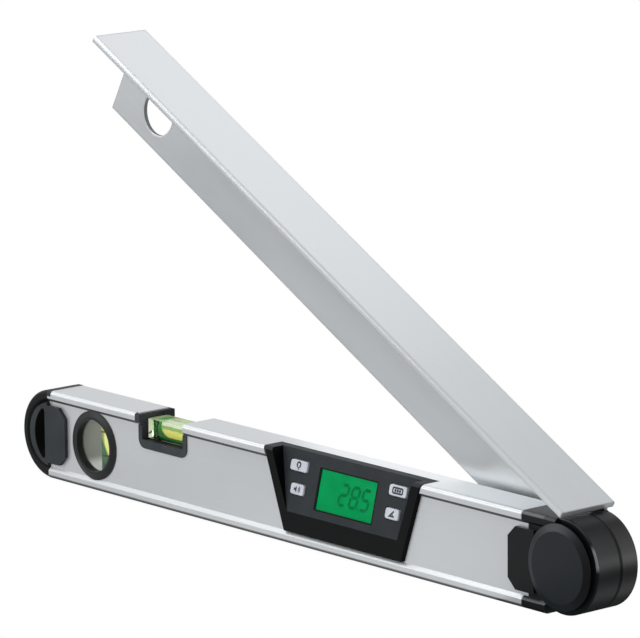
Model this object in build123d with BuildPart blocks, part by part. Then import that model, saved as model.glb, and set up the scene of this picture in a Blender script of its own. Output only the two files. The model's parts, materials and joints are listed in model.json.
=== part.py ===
from build123d import *
from math import atan, cos, radians, sin, tan
import os

os.makedirs("parts", exist_ok=True)

# Digital angle finder level: an aluminium level with vials and a display, and
# an aluminium arm that swings on a hub at its right end.
# Millimetres. +X runs along the level to the hub, -Y is the front with the
# display, +Z is up. The origin is the centre of the level's flat sole.

# Clearances
fit = 0.15  # between two pieces fixed to the same body
gap = 0.35  # between pieces that move past each other
run_fit = 0.05  # radial play of a shaft in its bush
skin = 0.05  # between a vial and the fluid or plug inside it

# Aluminium level profile
profile_length = 373.5
profile_height = 48.6
profile_depth = 23.5
profile_wall = 1.7
profile_flange = 2.2
web_recess = 1.8  # the web faces lie this far behind the lips
lip_height = 4.4
lip_slope = 1.8
lip_round = 2.2
hollow_corner = 1.0

# Left end cap, half round, with a hanging slot
cap_shy = 0.1  # it stays this far inside the level's top and sole
cap_face_radius = 17.3
cap_overlap = 1.7  # the rounding's centre lies this far inside the profile
slot_radius = 17.5
slot_flat = 2.45  # the slot's straight side, measured from the profile's end
slot_deep = 8.8
slot_corner = 1.6

# Plugs and tongues that hold the two end fittings
plug_length = 15.0
plug_wall = 2.4
tongue_height = 31.6
tongue_chamfer = 5.3
tongue_thick = 2.0
cap_tongue = 15.0
hub_tongue = 9.5
screw_hole = 1.6
screw_shank = 1.45
screw_head = 2.9
screw_length = 6.0
screw_spread = 18.0
screw_socket = 1.2
screw_socket_deep = 0.9

# Plumb vial, in a round window through both webs
plumb_from_end = 38.55
bezel_radius = 18.7
bezel_window = 14.1
bezel_proud = 1.4
bezel_crown = 1.4  # width of the flat around the window
bezel_rim = 0.4  # height left at the ring's outer edge
web_hole = 16.0
lens_radius = 14.9
lens_thick = 1.0
lens_sunk = 2.75  # the lenses lie this far behind the web faces
sleeve_bore = 14.4
plumb_tube_radius = 4.2
plumb_tube_length = 30.6

# Bores, stoppers, ring marks and bubbles of the two vials
level_vial_bore = 4.8
level_solid_end = 5.55  # solid part of the clear block, left of its bore
level_stopper = 1.2
plumb_vial_bore = 3.4
plumb_solid_end = 2.0
plumb_stopper = 3.1
ring_wide = 0.7
level_ring_spread = 21.5
plumb_ring_spread = 13.0
ring_deep = 0.45
level_bubble_radius = 3.1
level_bubble_rise = 0.7  # its middle lies this far above the bore's
plumb_bubble_radius = 2.3
bubble_flat = 0.27  # radius of the flat left at its ends
level_bubble_length = 17.8
plumb_bubble_length = 8.0

# Level vial in its saddle, in a notch through the top of the profile
level_from_end = 96.85
saddle_width = 39.8
saddle_reach = 18.6  # its frames reach this far below the top face
saddle_corner = 5.0
saddle_inside = 33.8
saddle_wall = 1.6
saddle_left_wall = 2.4
saddle_right_wall = 1.1
saddle_deep = 13.9  # its floor lies this far below the top face
saddle_frame = 0.6
saddle_wrap = 4.3  # width of the part that wraps the profile's lip
wrap_rise = 1.3  # and it starts this far above the lip's root
wrap_proud = 0.45  # the wrap stands this far in front of the lip
saddle_soft = 0.6
saddle_drop = 0.7  # its edge lies this far below the top face
block_drop = 3.0  # the vial block's top lies this far below the top face
block_depth = 13.0

# Display housing, a wedge-fronted box let into the front and the top
display_from_hub = 132.5  # from the profile's right end
display_bottom = 6.6
display_flare = 0.353  # how fast each side leans outwards
display_proud = 0.1
display_back = 0.7
band_height = 17.2
border = 7.1
border_edge = 0.8  # chamfer along the sides' front edges
border_round = 1.8  # rounding of the top front edge
panel_lean = 7.6
panel_thick = 1.2
house_wall = 1.8
window_wide = 43.0
window_high = 21.0
window_drop = 1.1  # its centre lies this far below the panel's middle
window_sunk = 0.1
window_thick = 0.4
lcd_thick = 1.8
light_margin = 1.5  # the light guide's edge, past the window's
light_thick = 4.4
post_out = 5.7  # from the window's edge
post_spacing = 15.0
post_drop = 4.0  # their middle lies this far below the panel's
post_radius = 2.0
pilot_radius = 0.9
board_margin = 1.3  # past the border's foot on each side
board_high = 25.1
board_drop = 2.5  # its middle lies this far below the panel's
board_thick = 1.6

# Buttons
key_gap = 9.8  # from the window's edge to the buttons' near edges
key_margin = 0.9  # from the lower buttons to the border's foot
upper_wide = 13.0
lower_wide = 10.0
button_high = 5.6
upper_rise = 8.0  # the upper pair's middle lies this far above the panel's
lower_drop = 3.9  # and the lower pair's this far below it
button_round = 1.4
button_proud = 1.0
button_travel = 0.8
button_flange = 0.8
button_ledge = 0.7
mat_thick = 0.9
switch_wide = 4.0
switch_high = 1.6
switch_stem_radius = 1.0

# Batteries behind a door in the rear web
battery_from_hub = 42.0  # from the profile's right end
cell_radius = 5.15
cell_length = 43.6
cell_nub = 1.9
cell_nub_length = 0.8
cell_apart = 11.0
tray_wall = 1.2
cell_sunk = 1.2  # the cells lie this far inside the tray's open side
contact_thick = 0.5
contact_wide = 8.0
door_wide = 58.0
door_high = 31.0
door_cut_wide = 51.0
door_cut_high = 25.0
door_thick = 1.5
door_round = 2.5
grip_count = 5
grip_pitch = 1.5
grip_wide = 0.7
grip_deep = 0.5

# Hub at the right end
pivot_from_end = 26.5
pivot_rise = 0.8  # above the profile's middle
web_reach = 3.2  # the front web runs this far in under the hub's lips
drum_radius = 24.0
drum_soft = 1.2
drum_front = 9.15  # in front of the profile's middle plane
hub_split = 6.45  # behind that plane, where the arm's half begins
stub_top = 3.0  # the top lip ends this far before the pivot
stub_bottom = 10.2  # and the bottom lip this far
stub_rear = 8.5  # behind the split the top ends this far before it
hub_pocket = 17.0
pocket_floor = 1.2
nose_radius = 21.5
nose_face = 17.8
nose_proud = 1.4
nose_bevel = 1.2
nose_rim = 0.6
neck_radius = 18.6
spigot_wall = 1.4
spigot_length = 1.0
bush_radius = 7.0
shaft_radius = 5.0
shaft_end = 7.4
rotor_radius = 10.5
rotor_thick = 0.8
rotor_slots = 24
rotor_slot_long = 1.6
rotor_slot_wide = 0.8
encoder_radius = 15.2
encoder_thick = 1.0
encoder_bore = 5.5
washer_radius = 9.0
washer_thick = 0.8
spring_washer = 1.1
nut_across = 13.0
nut_thick = 2.6
shaft_head = 9.0
shaft_head_thick = 2.0
edge_soft = 0.8
edge_fine = 0.4

# Arm: a plate with a web along its rear
arm_opening = 28.5  # degrees between arm and level as stored
arm_start = 9.2  # from the pivot, along the arm
arm_end = 413.1
plate_overhang = 2.6  # in front of the level's front lip
plate_rear = 3.35  # past the web's rear face
plate_thick = 3.5
plate_edge = 1.0
fold_gap = 0.4  # between plate and level when folded
web_thick = 2.0
web_clear = 3.65  # from the level's rear lip to the web
web_height = 46.2
web_corner = 1.0
sight_along = 379.3
sight_drop = 2.5  # below the line through the pivot
sight_radius = 11.9
rib_reach = 36.0
rib_clear = 0.5
rib_half = 17.0
rib_foot = 6.0  # its part that reaches up to the plate
horn_wide = 2.0  # the hub's part in front of the web's end
cover_radius = 22.6
cover_thick = 1.1
cover_bevel = 0.6
arm_screw_near = 15.0
arm_screw_far = 30.0
arm_screw_half = 11.0
arm_screw_tip = 0.6  # left uncut under each arm screw

# Sizes that follow from those above
half_depth = profile_depth / 2
mid_height = profile_height / 2
left_end = -profile_length / 2
right_end = profile_length / 2
web_face = half_depth - web_recess
web_inside = web_face - profile_wall
hollow_depth = 2 * web_inside
hollow_height = profile_height - 2 * profile_flange
lip_root = lip_height + lip_slope
tongue_face = web_face + tongue_thick
plug_depth = hollow_depth - 2 * fit
plug_height = hollow_height - 2 * fit

cap_radius = mid_height - cap_shy
cap_x = left_end + cap_overlap
plumb_x = left_end + plumb_from_end
level_x = left_end + level_from_end
display_x = right_end - display_from_hub
battery_x = right_end - battery_from_hub
pivot_x = right_end + pivot_from_end
pivot_z = mid_height + pivot_rise
cap_screw_x = left_end + cap_tongue / 2
hub_screw_x = right_end - hub_tongue / 2
screw_heights = (mid_height - screw_spread / 2, mid_height + screw_spread / 2)

slot_x = left_end - slot_flat - slot_deep + slot_radius
lens_front = web_face - lens_sunk
lens_back = lens_front - lens_thick

saddle_bottom = profile_height - saddle_reach
saddle_floor = profile_height - saddle_deep
saddle_left = level_x - saddle_inside / 2
saddle_right = level_x + saddle_inside / 2
wrap_left = saddle_left - saddle_wrap
block_top = profile_height - block_drop
notch_left = saddle_left - saddle_left_wall - fit
notch_width = saddle_right + saddle_right_wall + fit - notch_left
notch_floor = saddle_floor - saddle_wall - fit
lip_bottom = profile_height - lip_root
wrap_bottom = lip_bottom + wrap_rise
saddle_top = profile_height - saddle_drop
block_width = saddle_inside - 2 * fit
block_floor = saddle_floor + fit
vial_high = (block_floor + block_top) / 2
block_right = level_x + block_width / 2
level_bore_left = block_right - block_width + level_solid_end
level_fluid_left = level_bore_left + skin
level_fluid_right = block_right - level_stopper - skin
vial_mid = (level_fluid_left + level_fluid_right) / 2
level_bubble_high = vial_high + level_bubble_rise

display_front = half_depth + display_proud
display_top = profile_height - display_proud
panel_rise = display_top - band_height
panel_tilt = atan(panel_lean / panel_rise)
panel_slope = panel_rise / cos(panel_tilt)
panel_mid = panel_slope / 2
window_up = panel_mid - window_drop
upper_up = panel_mid + upper_rise
lower_up = panel_mid - lower_drop
post_up = panel_mid - post_drop
board_up = panel_mid - board_drop
post_x = window_wide / 2 + post_out
button_inner = window_wide / 2 + key_gap
inner_half = button_inner + lower_wide + key_margin
display_half = inner_half + border - display_flare * (band_height - display_bottom)
board_wide = 2 * (inner_half + board_margin)
window_back = window_sunk + window_thick
lcd_back = window_back + skin + lcd_thick
light_back = lcd_back + skin + light_thick
board_front = light_back + skin
board_back = board_front + board_thick
flange_front = panel_thick + gap
flange_back = flange_front + button_flange
mat_front = flange_back + button_travel + gap
mat_back = mat_front + mat_thick

tray_length = cell_length + cell_nub_length + 2 * (contact_thick + fit) + 2 * tray_wall
tray_height = 2 * cell_radius + cell_apart + 2 * (tray_wall + fit)
tray_front = cell_radius + fit + tray_wall
tray_back = web_inside - fit
cell_y = tray_back - cell_radius - cell_sunk

theta = radians(arm_opening)
plate_inner = profile_height - pivot_z + fold_gap
plate_front = half_depth + plate_overhang
web_front = half_depth + web_clear
web_back = web_front + web_thick
plate_back = web_back + plate_rear
arm_hub_front = hub_split + gap
arm_hub_back = web_front - skin
boss_edge = arm_start - gap
foot_top = plate_inner - web_corner - fit
rib_front = half_depth + rib_clear + tongue_thick - web_recess
arm_screw_length = web_back - rib_front - arm_screw_tip
neck_front = half_depth + nose_proud - nose_bevel - nose_rim
nut_front = pocket_floor + gap + washer_thick + spring_washer + nut_thick + 3 * skin
rotor_back = nut_front + fit
encoder_back = drum_front - encoder_thick - skin

# Planes that several pieces share. The panel plane looks out of the tilted
# display panel and its Y runs up the slope from the panel's lower edge. On
# the arm plane X runs along the arm and Y away from its plate's inner side.
panel_normal = (0, -cos(panel_tilt), sin(panel_tilt))
panel_plane = Plane((display_x, -display_front, band_height), (1, 0, 0), panel_normal)
arm_plane = Plane((pivot_x, 0, pivot_z), (-cos(theta), 0, sin(theta)), (0, 1, 0))
arm_section = Plane(
    (pivot_x - arm_start * cos(theta), 0, pivot_z + arm_start * sin(theta)),
    (0, -1, 0),
    (-cos(theta), 0, sin(theta)),
)
pivot_axis = Axis((pivot_x, 0, pivot_z), (0, 1, 0))


def at_y(y):
    """An upright plane at this Y, looking to the rear, with X to the left."""
    return Plane((0, y, 0), (-1, 0, 0), (0, 1, 0))


def spin_plane(x, z=mid_height):
    """A plane through an upright round piece: X is its radius, Y the depth."""
    return Plane((x, 0, z), (-1, 0, 0), (0, 0, -1))


def spin_axis(x):
    """The axis that goes with spin_plane."""
    return Axis((x, 0, mid_height), (0, 1, 0))


def lipped_outline(sketch):
    """The level profile's outer section, with its four lips."""
    with Locations((0, mid_height)):
        Rectangle(profile_depth, profile_height)
    fillet(sketch.vertices(), lip_round)
    for side in (-1, 1):
        Polygon(
            (side * (half_depth + lip_round), lip_height),
            (side * half_depth, lip_height),
            (side * web_face, lip_root),
            (side * web_face, profile_height - lip_root),
            (side * half_depth, profile_height - lip_height),
            (side * (half_depth + lip_round), profile_height - lip_height),
            align=None,
            mode=Mode.SUBTRACT,
        )


def display_corners(grow):
    """The display housing's front outline, from its lower left corner."""
    low = display_half + grow
    rise = profile_height - display_bottom
    high = low + display_flare * rise
    return (
        (display_x - low, display_bottom - grow),
        (display_x + low, display_bottom - grow),
        (display_x + high, display_bottom + rise),
        (display_x - high, display_bottom + rise),
    )


def tongue_corners(root, tip):
    """A tongue with clipped corners at its tip, on a web face."""
    low = mid_height - tongue_height / 2
    high = mid_height + tongue_height / 2
    back = tip + tongue_chamfer * (1 if root > tip else -1)
    return (
        (root, low),
        (back, low),
        (tip, low + tongue_chamfer),
        (tip, high - tongue_chamfer),
        (back, high),
        (root, high),
    )


def panel_y(height):
    """How far back the display panel is at this height."""
    return -display_front + (height - band_height) * tan(panel_tilt)


# The level profile, hollow and cut for the vials, the display and the door
with BuildPart() as base_profile:
    with BuildSketch(Plane.YZ.offset(left_end)) as base_section:
        lipped_outline(base_section)
        with Locations((0, mid_height)):
            RectangleRounded(hollow_depth, hollow_height, hollow_corner, mode=Mode.SUBTRACT)
    extrude(amount=profile_length)
    with BuildSketch(Plane.YZ.offset(right_end)) as web_end:
        with Locations((-web_face, mid_height)):
            Rectangle(profile_wall, lip_bottom - lip_root, align=(Align.MIN, Align.CENTER))
    extrude(amount=web_reach)
    with BuildSketch(Plane.XZ) as level_notch:
        with Locations((notch_left, notch_floor)):
            Rectangle(notch_width, profile_height, align=(Align.MIN, Align.MIN))
    extrude(amount=profile_depth, both=True, mode=Mode.SUBTRACT)
    for side in (-1, 1):
        with BuildSketch(Plane.XZ.offset(side * web_face)) as lip_notch:
            with Locations((wrap_left - fit, wrap_bottom - fit)):
                Rectangle(saddle_wrap + fit, profile_height, align=(Align.MIN, Align.MIN))
        extrude(amount=side * profile_depth, mode=Mode.SUBTRACT)
    with BuildSketch(Plane.XZ) as plumb_cut:
        with Locations((plumb_x, mid_height)):
            Circle(web_hole)
    extrude(amount=profile_depth, both=True, mode=Mode.SUBTRACT)
    for side in (-1, 1):
        with BuildSketch(Plane.XZ.offset(side * web_face)) as bezel_room:
            with Locations((plumb_x, mid_height)):
                Circle(bezel_radius + fit)
        extrude(amount=side * web_recess, mode=Mode.SUBTRACT)
    with BuildSketch(Plane.XZ.offset(-display_back - fit)) as display_cut:
        Polygon(*display_corners(fit), align=None)
    extrude(amount=profile_depth, mode=Mode.SUBTRACT)
    with BuildSketch(at_y(0)) as door_cut:
        with Locations((-battery_x, mid_height)):
            Rectangle(door_cut_wide, door_cut_high)
    extrude(amount=profile_depth, mode=Mode.SUBTRACT)
    with BuildSketch(at_y(0)) as end_screw_holes:
        for x in (cap_screw_x, hub_screw_x):
            for z in screw_heights:
                with Locations((-x, z)):
                    Circle(screw_hole)
    extrude(amount=profile_depth, mode=Mode.SUBTRACT)

# The left end cap: the profile's lips and webs carried round in a half disc,
# a raised face, tongues on both webs and a hollow plug
with BuildPart() as end_cap:
    with BuildSketch(spin_plane(cap_x)) as cap_section:
        Polygon(
            (0, -tongue_face),
            (cap_face_radius, -tongue_face),
            (cap_face_radius, -web_face),
            (mid_height - lip_root, -web_face),
            (mid_height - lip_height, -half_depth),
            (cap_radius, -half_depth),
            (cap_radius, half_depth),
            (mid_height - lip_height, half_depth),
            (mid_height - lip_root, web_face),
            (cap_face_radius, web_face),
            (cap_face_radius, tongue_face),
            (0, tongue_face),
            align=None,
        )
        fillet(cap_section.vertices().group_by(Axis.X)[-1], lip_round)
    revolve(axis=spin_axis(cap_x))
    with BuildSketch(Plane.YZ.offset(left_end - fit)) as cap_trim:
        with Locations((0, mid_height)):
            Rectangle(3 * profile_depth, 2 * profile_height)
    extrude(amount=2 * cap_radius, mode=Mode.SUBTRACT)
    for side in (-1, 1):
        with BuildSketch(Plane.XZ.offset(side * web_face)) as cap_tongues:
            Polygon(*tongue_corners(cap_x - tongue_chamfer, left_end + cap_tongue), align=None)
        extrude(amount=side * tongue_thick)
    with BuildSketch(Plane.YZ.offset(left_end - fit)) as cap_plug:
        with Locations((0, mid_height)):
            RectangleRounded(plug_depth, plug_height, hollow_corner)
    extrude(amount=plug_length)
    with BuildSketch(Plane.YZ.offset(left_end + plug_length)) as cap_pocket:
        with Locations((0, mid_height)):
            Rectangle(plug_depth - 2 * plug_wall, plug_height - 2 * plug_wall)
    extrude(amount=-plug_length - fit, mode=Mode.SUBTRACT)
    with BuildSketch(Plane.XZ) as hang_slot:
        with Locations((slot_x, mid_height)):
            Circle(slot_radius)
        with Locations((left_end - slot_flat, mid_height)):
            Rectangle(profile_height, profile_height, align=(Align.MIN, Align.CENTER), mode=Mode.SUBTRACT)
        fillet(hang_slot.vertices(), slot_corner)
    extrude(amount=profile_depth, both=True, mode=Mode.SUBTRACT)
    for z in screw_heights:
        with Locations(Plane((cap_screw_x, tongue_face, z), (-1, 0, 0), (0, 1, 0))):
            CounterSinkHole(screw_hole, screw_head + fit, depth=screw_length + fit)

# Round window rings on the front and the rear web
bezel_points = (
    (bezel_window, web_face + bezel_proud),
    (bezel_window + bezel_crown, web_face + bezel_proud),
    (bezel_radius, web_face + bezel_rim),
    (bezel_radius, web_face),
    (web_hole - fit, web_face),
    (web_hole - fit, lens_back),
    (lens_radius + fit, lens_back),
    (lens_radius + fit, lens_front + fit),
    (bezel_window, lens_front + fit),
)
with BuildPart() as plumb_bezel_front:
    with BuildSketch(spin_plane(plumb_x)) as front_bezel_section:
        Polygon(*[(r, -y) for r, y in bezel_points], align=None)
    revolve(axis=spin_axis(plumb_x))
with BuildPart() as plumb_bezel_rear:
    with BuildSketch(spin_plane(plumb_x)) as rear_bezel_section:
        Polygon(*bezel_points, align=None)
    revolve(axis=spin_axis(plumb_x))

# Clear discs deep in the rings
with BuildPart() as plumb_lens_front:
    with BuildSketch(Plane.XZ.offset(lens_back)) as front_lens_disc:
        with Locations((plumb_x, mid_height)):
            Circle(lens_radius)
    extrude(amount=lens_thick)
with BuildPart() as plumb_lens_rear:
    with BuildSketch(Plane.XZ.offset(-lens_back)) as rear_lens_disc:
        with Locations((plumb_x, mid_height)):
            Circle(lens_radius)
    extrude(amount=-lens_thick)

# The sleeve between the lenses carries the upright vial
with BuildPart() as plumb_sleeve:
    with BuildSketch(Plane.XZ.offset(skin - lens_back)) as sleeve_ring:
        with Locations((plumb_x, mid_height)):
            Circle(web_hole - fit)
            Circle(sleeve_bore, mode=Mode.SUBTRACT)
    extrude(amount=2 * (lens_back - skin))
    with BuildSketch(Plane.XY) as vial_way:
        with Locations((plumb_x, 0)):
            Circle(plumb_tube_radius + skin)
    extrude(amount=profile_height, mode=Mode.SUBTRACT)

# The upright vial: tube, fluid with the bubble's way through it, ring marks
plumb_low = mid_height - plumb_tube_length / 2
plumb_high = mid_height + plumb_tube_length / 2
plumb_fluid_low = plumb_low + plumb_stopper + skin
plumb_fluid_high = plumb_high - plumb_solid_end - skin
with BuildPart() as plumb_vial_tube:
    with BuildSketch(Plane.XY.offset(plumb_low)) as plumb_tube_round:
        with Locations((plumb_x, 0)):
            Circle(plumb_tube_radius)
    extrude(amount=plumb_tube_length)
    with BuildSketch(Plane.XY.offset(plumb_low)) as plumb_bore:
        with Locations((plumb_x, 0)):
            Circle(plumb_vial_bore)
    extrude(amount=plumb_tube_length - plumb_solid_end, mode=Mode.SUBTRACT)
    for side in (-1, 1):
        ring_z = mid_height + side * plumb_ring_spread / 2 - ring_wide / 2
        with BuildSketch(Plane.XY.offset(ring_z)) as plumb_ring_cut:
            with Locations((plumb_x, 0)):
                Circle(plumb_tube_radius)
                Circle(plumb_tube_radius - ring_deep, mode=Mode.SUBTRACT)
        extrude(amount=ring_wide, mode=Mode.SUBTRACT)
with BuildPart() as plumb_vial_fluid:
    with BuildSketch(Plane.XY.offset(plumb_fluid_low)) as plumb_fluid_round:
        with Locations((plumb_x, 0)):
            Circle(plumb_vial_bore - skin)
    extrude(amount=plumb_fluid_high - plumb_fluid_low)
    with BuildSketch(Plane.XY.offset(plumb_fluid_low + gap)) as plumb_bubble_way:
        with Locations((plumb_x, 0)):
            Circle(plumb_bubble_radius + gap)
    extrude(amount=plumb_fluid_high - plumb_fluid_low, mode=Mode.SUBTRACT)
with BuildPart() as plumb_vial_rings:
    for side in (-1, 1):
        ring_z = mid_height + side * plumb_ring_spread / 2 - ring_wide / 2
        with BuildSketch(Plane.XY.offset(ring_z)) as plumb_ring:
            with Locations((plumb_x, 0)):
                Circle(plumb_tube_radius)
                Circle(plumb_tube_radius - ring_deep, mode=Mode.SUBTRACT)
        extrude(amount=ring_wide)
plumb_bubble_high = plumb_fluid_high - gap
with BuildPart() as plumb_bubble:
    with BuildSketch(Plane.XY.offset(plumb_bubble_high - plumb_bubble_length)) as plumb_bubble_round:
        with Locations((plumb_x, 0)):
            Circle(plumb_bubble_radius)
    extrude(amount=plumb_bubble_length)
    fillet(plumb_bubble.edges().filter_by(GeomType.CIRCLE), plumb_bubble_radius - bubble_flat)

# The saddle: a U that lines the notch, a thin frame on each web, and on the
# left a wrap over each of the profile's lips
with BuildPart() as level_saddle:
    with BuildSketch(Plane.XZ) as saddle_u:
        with Locations((notch_left + fit, notch_floor + fit)):
            Rectangle(
                notch_width - 2 * fit,
                saddle_top - notch_floor - fit,
                align=(Align.MIN, Align.MIN),
            )
        with Locations((level_x, saddle_floor)):
            Rectangle(saddle_inside, profile_height, align=(Align.CENTER, Align.MIN), mode=Mode.SUBTRACT)
    extrude(amount=web_face, both=True)
    for side in (-1, 1):
        with BuildSketch(Plane.XZ.offset(side * web_face)) as saddle_frames:
            with Locations((level_x, saddle_bottom)):
                frame_high = lip_bottom - fit - saddle_bottom
                Rectangle(saddle_width, frame_high, align=(Align.CENTER, Align.MIN))
            fillet(saddle_frames.vertices().group_by(Axis.Y)[0], saddle_corner)
            with Locations((level_x, saddle_floor)):
                Rectangle(
                    saddle_inside,
                    profile_height,
                    align=(Align.CENTER, Align.MIN),
                    mode=Mode.SUBTRACT,
                )
        extrude(amount=side * saddle_frame)
        with BuildSketch(Plane.XZ.offset(side * web_face)) as saddle_wraps:
            with Locations((wrap_left, wrap_bottom)):
                wrap_high = saddle_top - wrap_bottom
                Rectangle(saddle_wrap, wrap_high, align=(Align.MIN, Align.MIN))
        extrude(amount=side * (web_recess + wrap_proud))
    wrap_faces = level_saddle.faces().filter_by(Axis.Y).sort_by(Axis.Y)
    fillet(wrap_faces[0].outer_wire().edges() + wrap_faces[-1].outer_wire().edges(), saddle_soft)

# The level vial: clear block, fluid, ring marks
with BuildPart() as level_vial_block:
    with BuildSketch(Plane.XY.offset(block_floor)) as block_plan:
        with Locations((level_x, 0)):
            RectangleRounded(block_width, block_depth, edge_soft)
    extrude(amount=block_top - block_floor)
    with BuildSketch(Plane.YZ.offset(level_bore_left)) as level_bore:
        with Locations((0, vial_high)):
            Circle(level_vial_bore)
    extrude(amount=block_right - level_bore_left, mode=Mode.SUBTRACT)
with BuildPart() as level_vial_fluid:
    with BuildSketch(Plane.YZ.offset(level_fluid_left)) as level_fluid_round:
        with Locations((0, vial_high)):
            Circle(level_vial_bore - skin)
    extrude(amount=level_fluid_right - level_fluid_left)
    with BuildSketch(Plane.YZ.offset(level_fluid_left + gap)) as level_bubble_way:
        with Locations((0, level_bubble_high)):
            Circle(level_bubble_radius + gap)
    extrude(amount=level_fluid_right - level_fluid_left - 2 * gap, mode=Mode.SUBTRACT)
    for side in (-1, 1):
        ring_x = vial_mid + side * level_ring_spread / 2 - ring_wide / 2
        with BuildSketch(Plane.YZ.offset(ring_x)) as level_ring_cut:
            with Locations((0, vial_high)):
                Circle(level_vial_bore)
                Circle(level_vial_bore - ring_deep - skin, mode=Mode.SUBTRACT)
        extrude(amount=ring_wide, mode=Mode.SUBTRACT)
with BuildPart() as level_vial_rings:
    for side in (-1, 1):
        ring_x = vial_mid + side * level_ring_spread / 2 - ring_wide / 2
        with BuildSketch(Plane.YZ.offset(ring_x + skin)) as level_ring:
            with Locations((0, vial_high)):
                Circle(level_vial_bore - skin)
                Circle(level_vial_bore - ring_deep, mode=Mode.SUBTRACT)
        extrude(amount=ring_wide - 2 * skin)
with BuildPart() as level_bubble:
    with BuildSketch(Plane.YZ.offset(vial_mid - level_bubble_length / 2)) as level_bubble_round:
        with Locations((0, level_bubble_high)):
            Circle(level_bubble_radius)
    extrude(amount=level_bubble_length)
    fillet(level_bubble.edges().filter_by(GeomType.CIRCLE), level_bubble_radius - bubble_flat)

# One plug closes each vial
with BuildPart() as vial_plugs:
    with BuildSketch(Plane.YZ.offset(block_right - level_stopper)) as level_plug:
        with Locations((0, vial_high)):
            Circle(level_vial_bore - skin)
    extrude(amount=level_stopper)
    with BuildSketch(Plane.XY.offset(plumb_low)) as plumb_plug:
        with Locations((plumb_x, 0)):
            Circle(plumb_vial_bore - skin)
    extrude(amount=plumb_stopper)

# The display housing: front band, leaning panel, side walls, hollow behind
with BuildPart() as display_housing:
    with BuildSketch(Plane.XZ.offset(-display_back)) as house_outline:
        Polygon(*display_corners(0), align=None)
    extrude(amount=display_front + display_back)
    front_edges = display_housing.faces().sort_by(Axis.Y)[0].edges().filter_by(GeomType.LINE)
    chamfer(front_edges.filter_by(Axis.X, reverse=True), border_edge)
    with BuildSketch(Plane.YZ.offset(display_x)) as house_side:
        with Locations((-display_front, 0)):
            Rectangle(display_front + display_back, display_top, align=(Align.MIN, Align.MIN))
        fillet(house_side.vertices().group_by(Axis.Y)[-1].sort_by(Axis.X)[0], border_round)
    extrude(amount=profile_length, both=True, mode=Mode.INTERSECT)
    with BuildSketch(panel_plane) as panel_well:
        well_top = panel_slope + profile_wall
        Polygon(
            (-inner_half, 0),
            (inner_half, 0),
            (inner_half + display_flare * well_top, well_top),
            (-inner_half - display_flare * well_top, well_top),
            align=None,
        )
    extrude(amount=profile_depth, dir=(0, -1, 0), mode=Mode.SUBTRACT)
    hollow_low = display_bottom + house_wall
    hollow_top = display_top - house_wall
    panel_behind = panel_thick / cos(panel_tilt)
    with BuildSketch(Plane.YZ.offset(display_x)) as board_room:
        Polygon(
            (panel_y(band_height) + panel_behind, band_height),
            (panel_y(hollow_top) + panel_behind, hollow_top),
            (half_depth, hollow_top),
            (half_depth, band_height),
            align=None,
        )
    extrude(amount=inner_half + border - house_wall, both=True, mode=Mode.SUBTRACT)
    with BuildSketch(Plane.YZ.offset(display_x)) as band_room:
        Polygon(
            (house_wall - display_front, hollow_low),
            (house_wall - display_front, band_height - edge_soft),
            (panel_y(band_height) + panel_behind, band_height),
            (half_depth, band_height),
            (half_depth, hollow_low),
            align=None,
        )
    extrude(amount=display_half - house_wall, both=True, mode=Mode.SUBTRACT)
    with BuildSketch(panel_plane) as panel_cuts:
        with Locations((0, window_up)):
            Rectangle(window_wide, window_high)
        for side in (-1, 1):
            with Locations((side * (button_inner + upper_wide / 2), upper_up)):
                Rectangle(upper_wide + 2 * gap, button_high + 2 * gap)
            with Locations((side * (button_inner + lower_wide / 2), lower_up)):
                Rectangle(lower_wide + 2 * gap, button_high + 2 * gap)
    extrude(amount=-panel_thick - edge_soft, mode=Mode.SUBTRACT)
    with BuildSketch(panel_plane.offset(-panel_thick)) as board_posts:
        with Locations((0, post_up)):
            with GridLocations(2 * post_x, post_spacing, 2, 2):
                Circle(post_radius)
    extrude(amount=panel_thick - board_front)
    with BuildSketch(panel_plane.offset(-board_front)) as post_pilots:
        with Locations((0, post_up)):
            with GridLocations(2 * post_x, post_spacing, 2, 2):
                Circle(pilot_radius)
    extrude(amount=board_front - panel_thick, mode=Mode.SUBTRACT)

# Window, liquid crystal glass and light behind it, along the panel
with BuildPart() as display_window:
    with BuildSketch(panel_plane.offset(-window_back)) as window_plan:
        with Locations((0, window_up)):
            Rectangle(window_wide - 2 * fit, window_high - 2 * fit)
    extrude(amount=window_thick)
with BuildPart() as lcd_glass:
    with BuildSketch(panel_plane.offset(-lcd_back)) as lcd_plan:
        with Locations((0, window_up)):
            Rectangle(window_wide - 2 * fit, window_high - 2 * fit)
    extrude(amount=lcd_thick)
with BuildPart() as backlight:
    with BuildSketch(panel_plane.offset(-light_back)) as light_plan:
        with Locations((0, window_up)):
            Rectangle(window_wide + 2 * light_margin, window_high + 2 * light_margin)
    extrude(amount=light_thick)

# Main board on the four posts, with a push switch behind each button
button_places = {
    "button_light": (-button_inner - upper_wide / 2, upper_up, upper_wide),
    "button_sound": (-button_inner - lower_wide / 2, lower_up, lower_wide),
    "button_hold": (button_inner + upper_wide / 2, upper_up, upper_wide),
    "button_mode": (button_inner + lower_wide / 2, lower_up, lower_wide),
}
with BuildPart() as main_board:
    with BuildSketch(panel_plane.offset(-board_back)) as board_plan:
        with Locations((0, board_up)):
            Rectangle(board_wide, board_high)
        with Locations((0, post_up)):
            with GridLocations(2 * post_x, post_spacing, 2, 2):
                Circle(screw_hole, mode=Mode.SUBTRACT)
    extrude(amount=board_thick)
with BuildPart() as push_switches:
    for x, up, wide in button_places.values():
        with BuildSketch(panel_plane.offset(-board_front)) as switch_body:
            with Locations((x, up)):
                Rectangle(switch_wide, switch_wide)
        extrude(amount=switch_high)
        with BuildSketch(panel_plane.offset(switch_high - board_front)) as switch_stem:
            with Locations((x, up)):
                Circle(switch_stem_radius)
        extrude(amount=board_front - switch_high - mat_back - skin)
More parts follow.
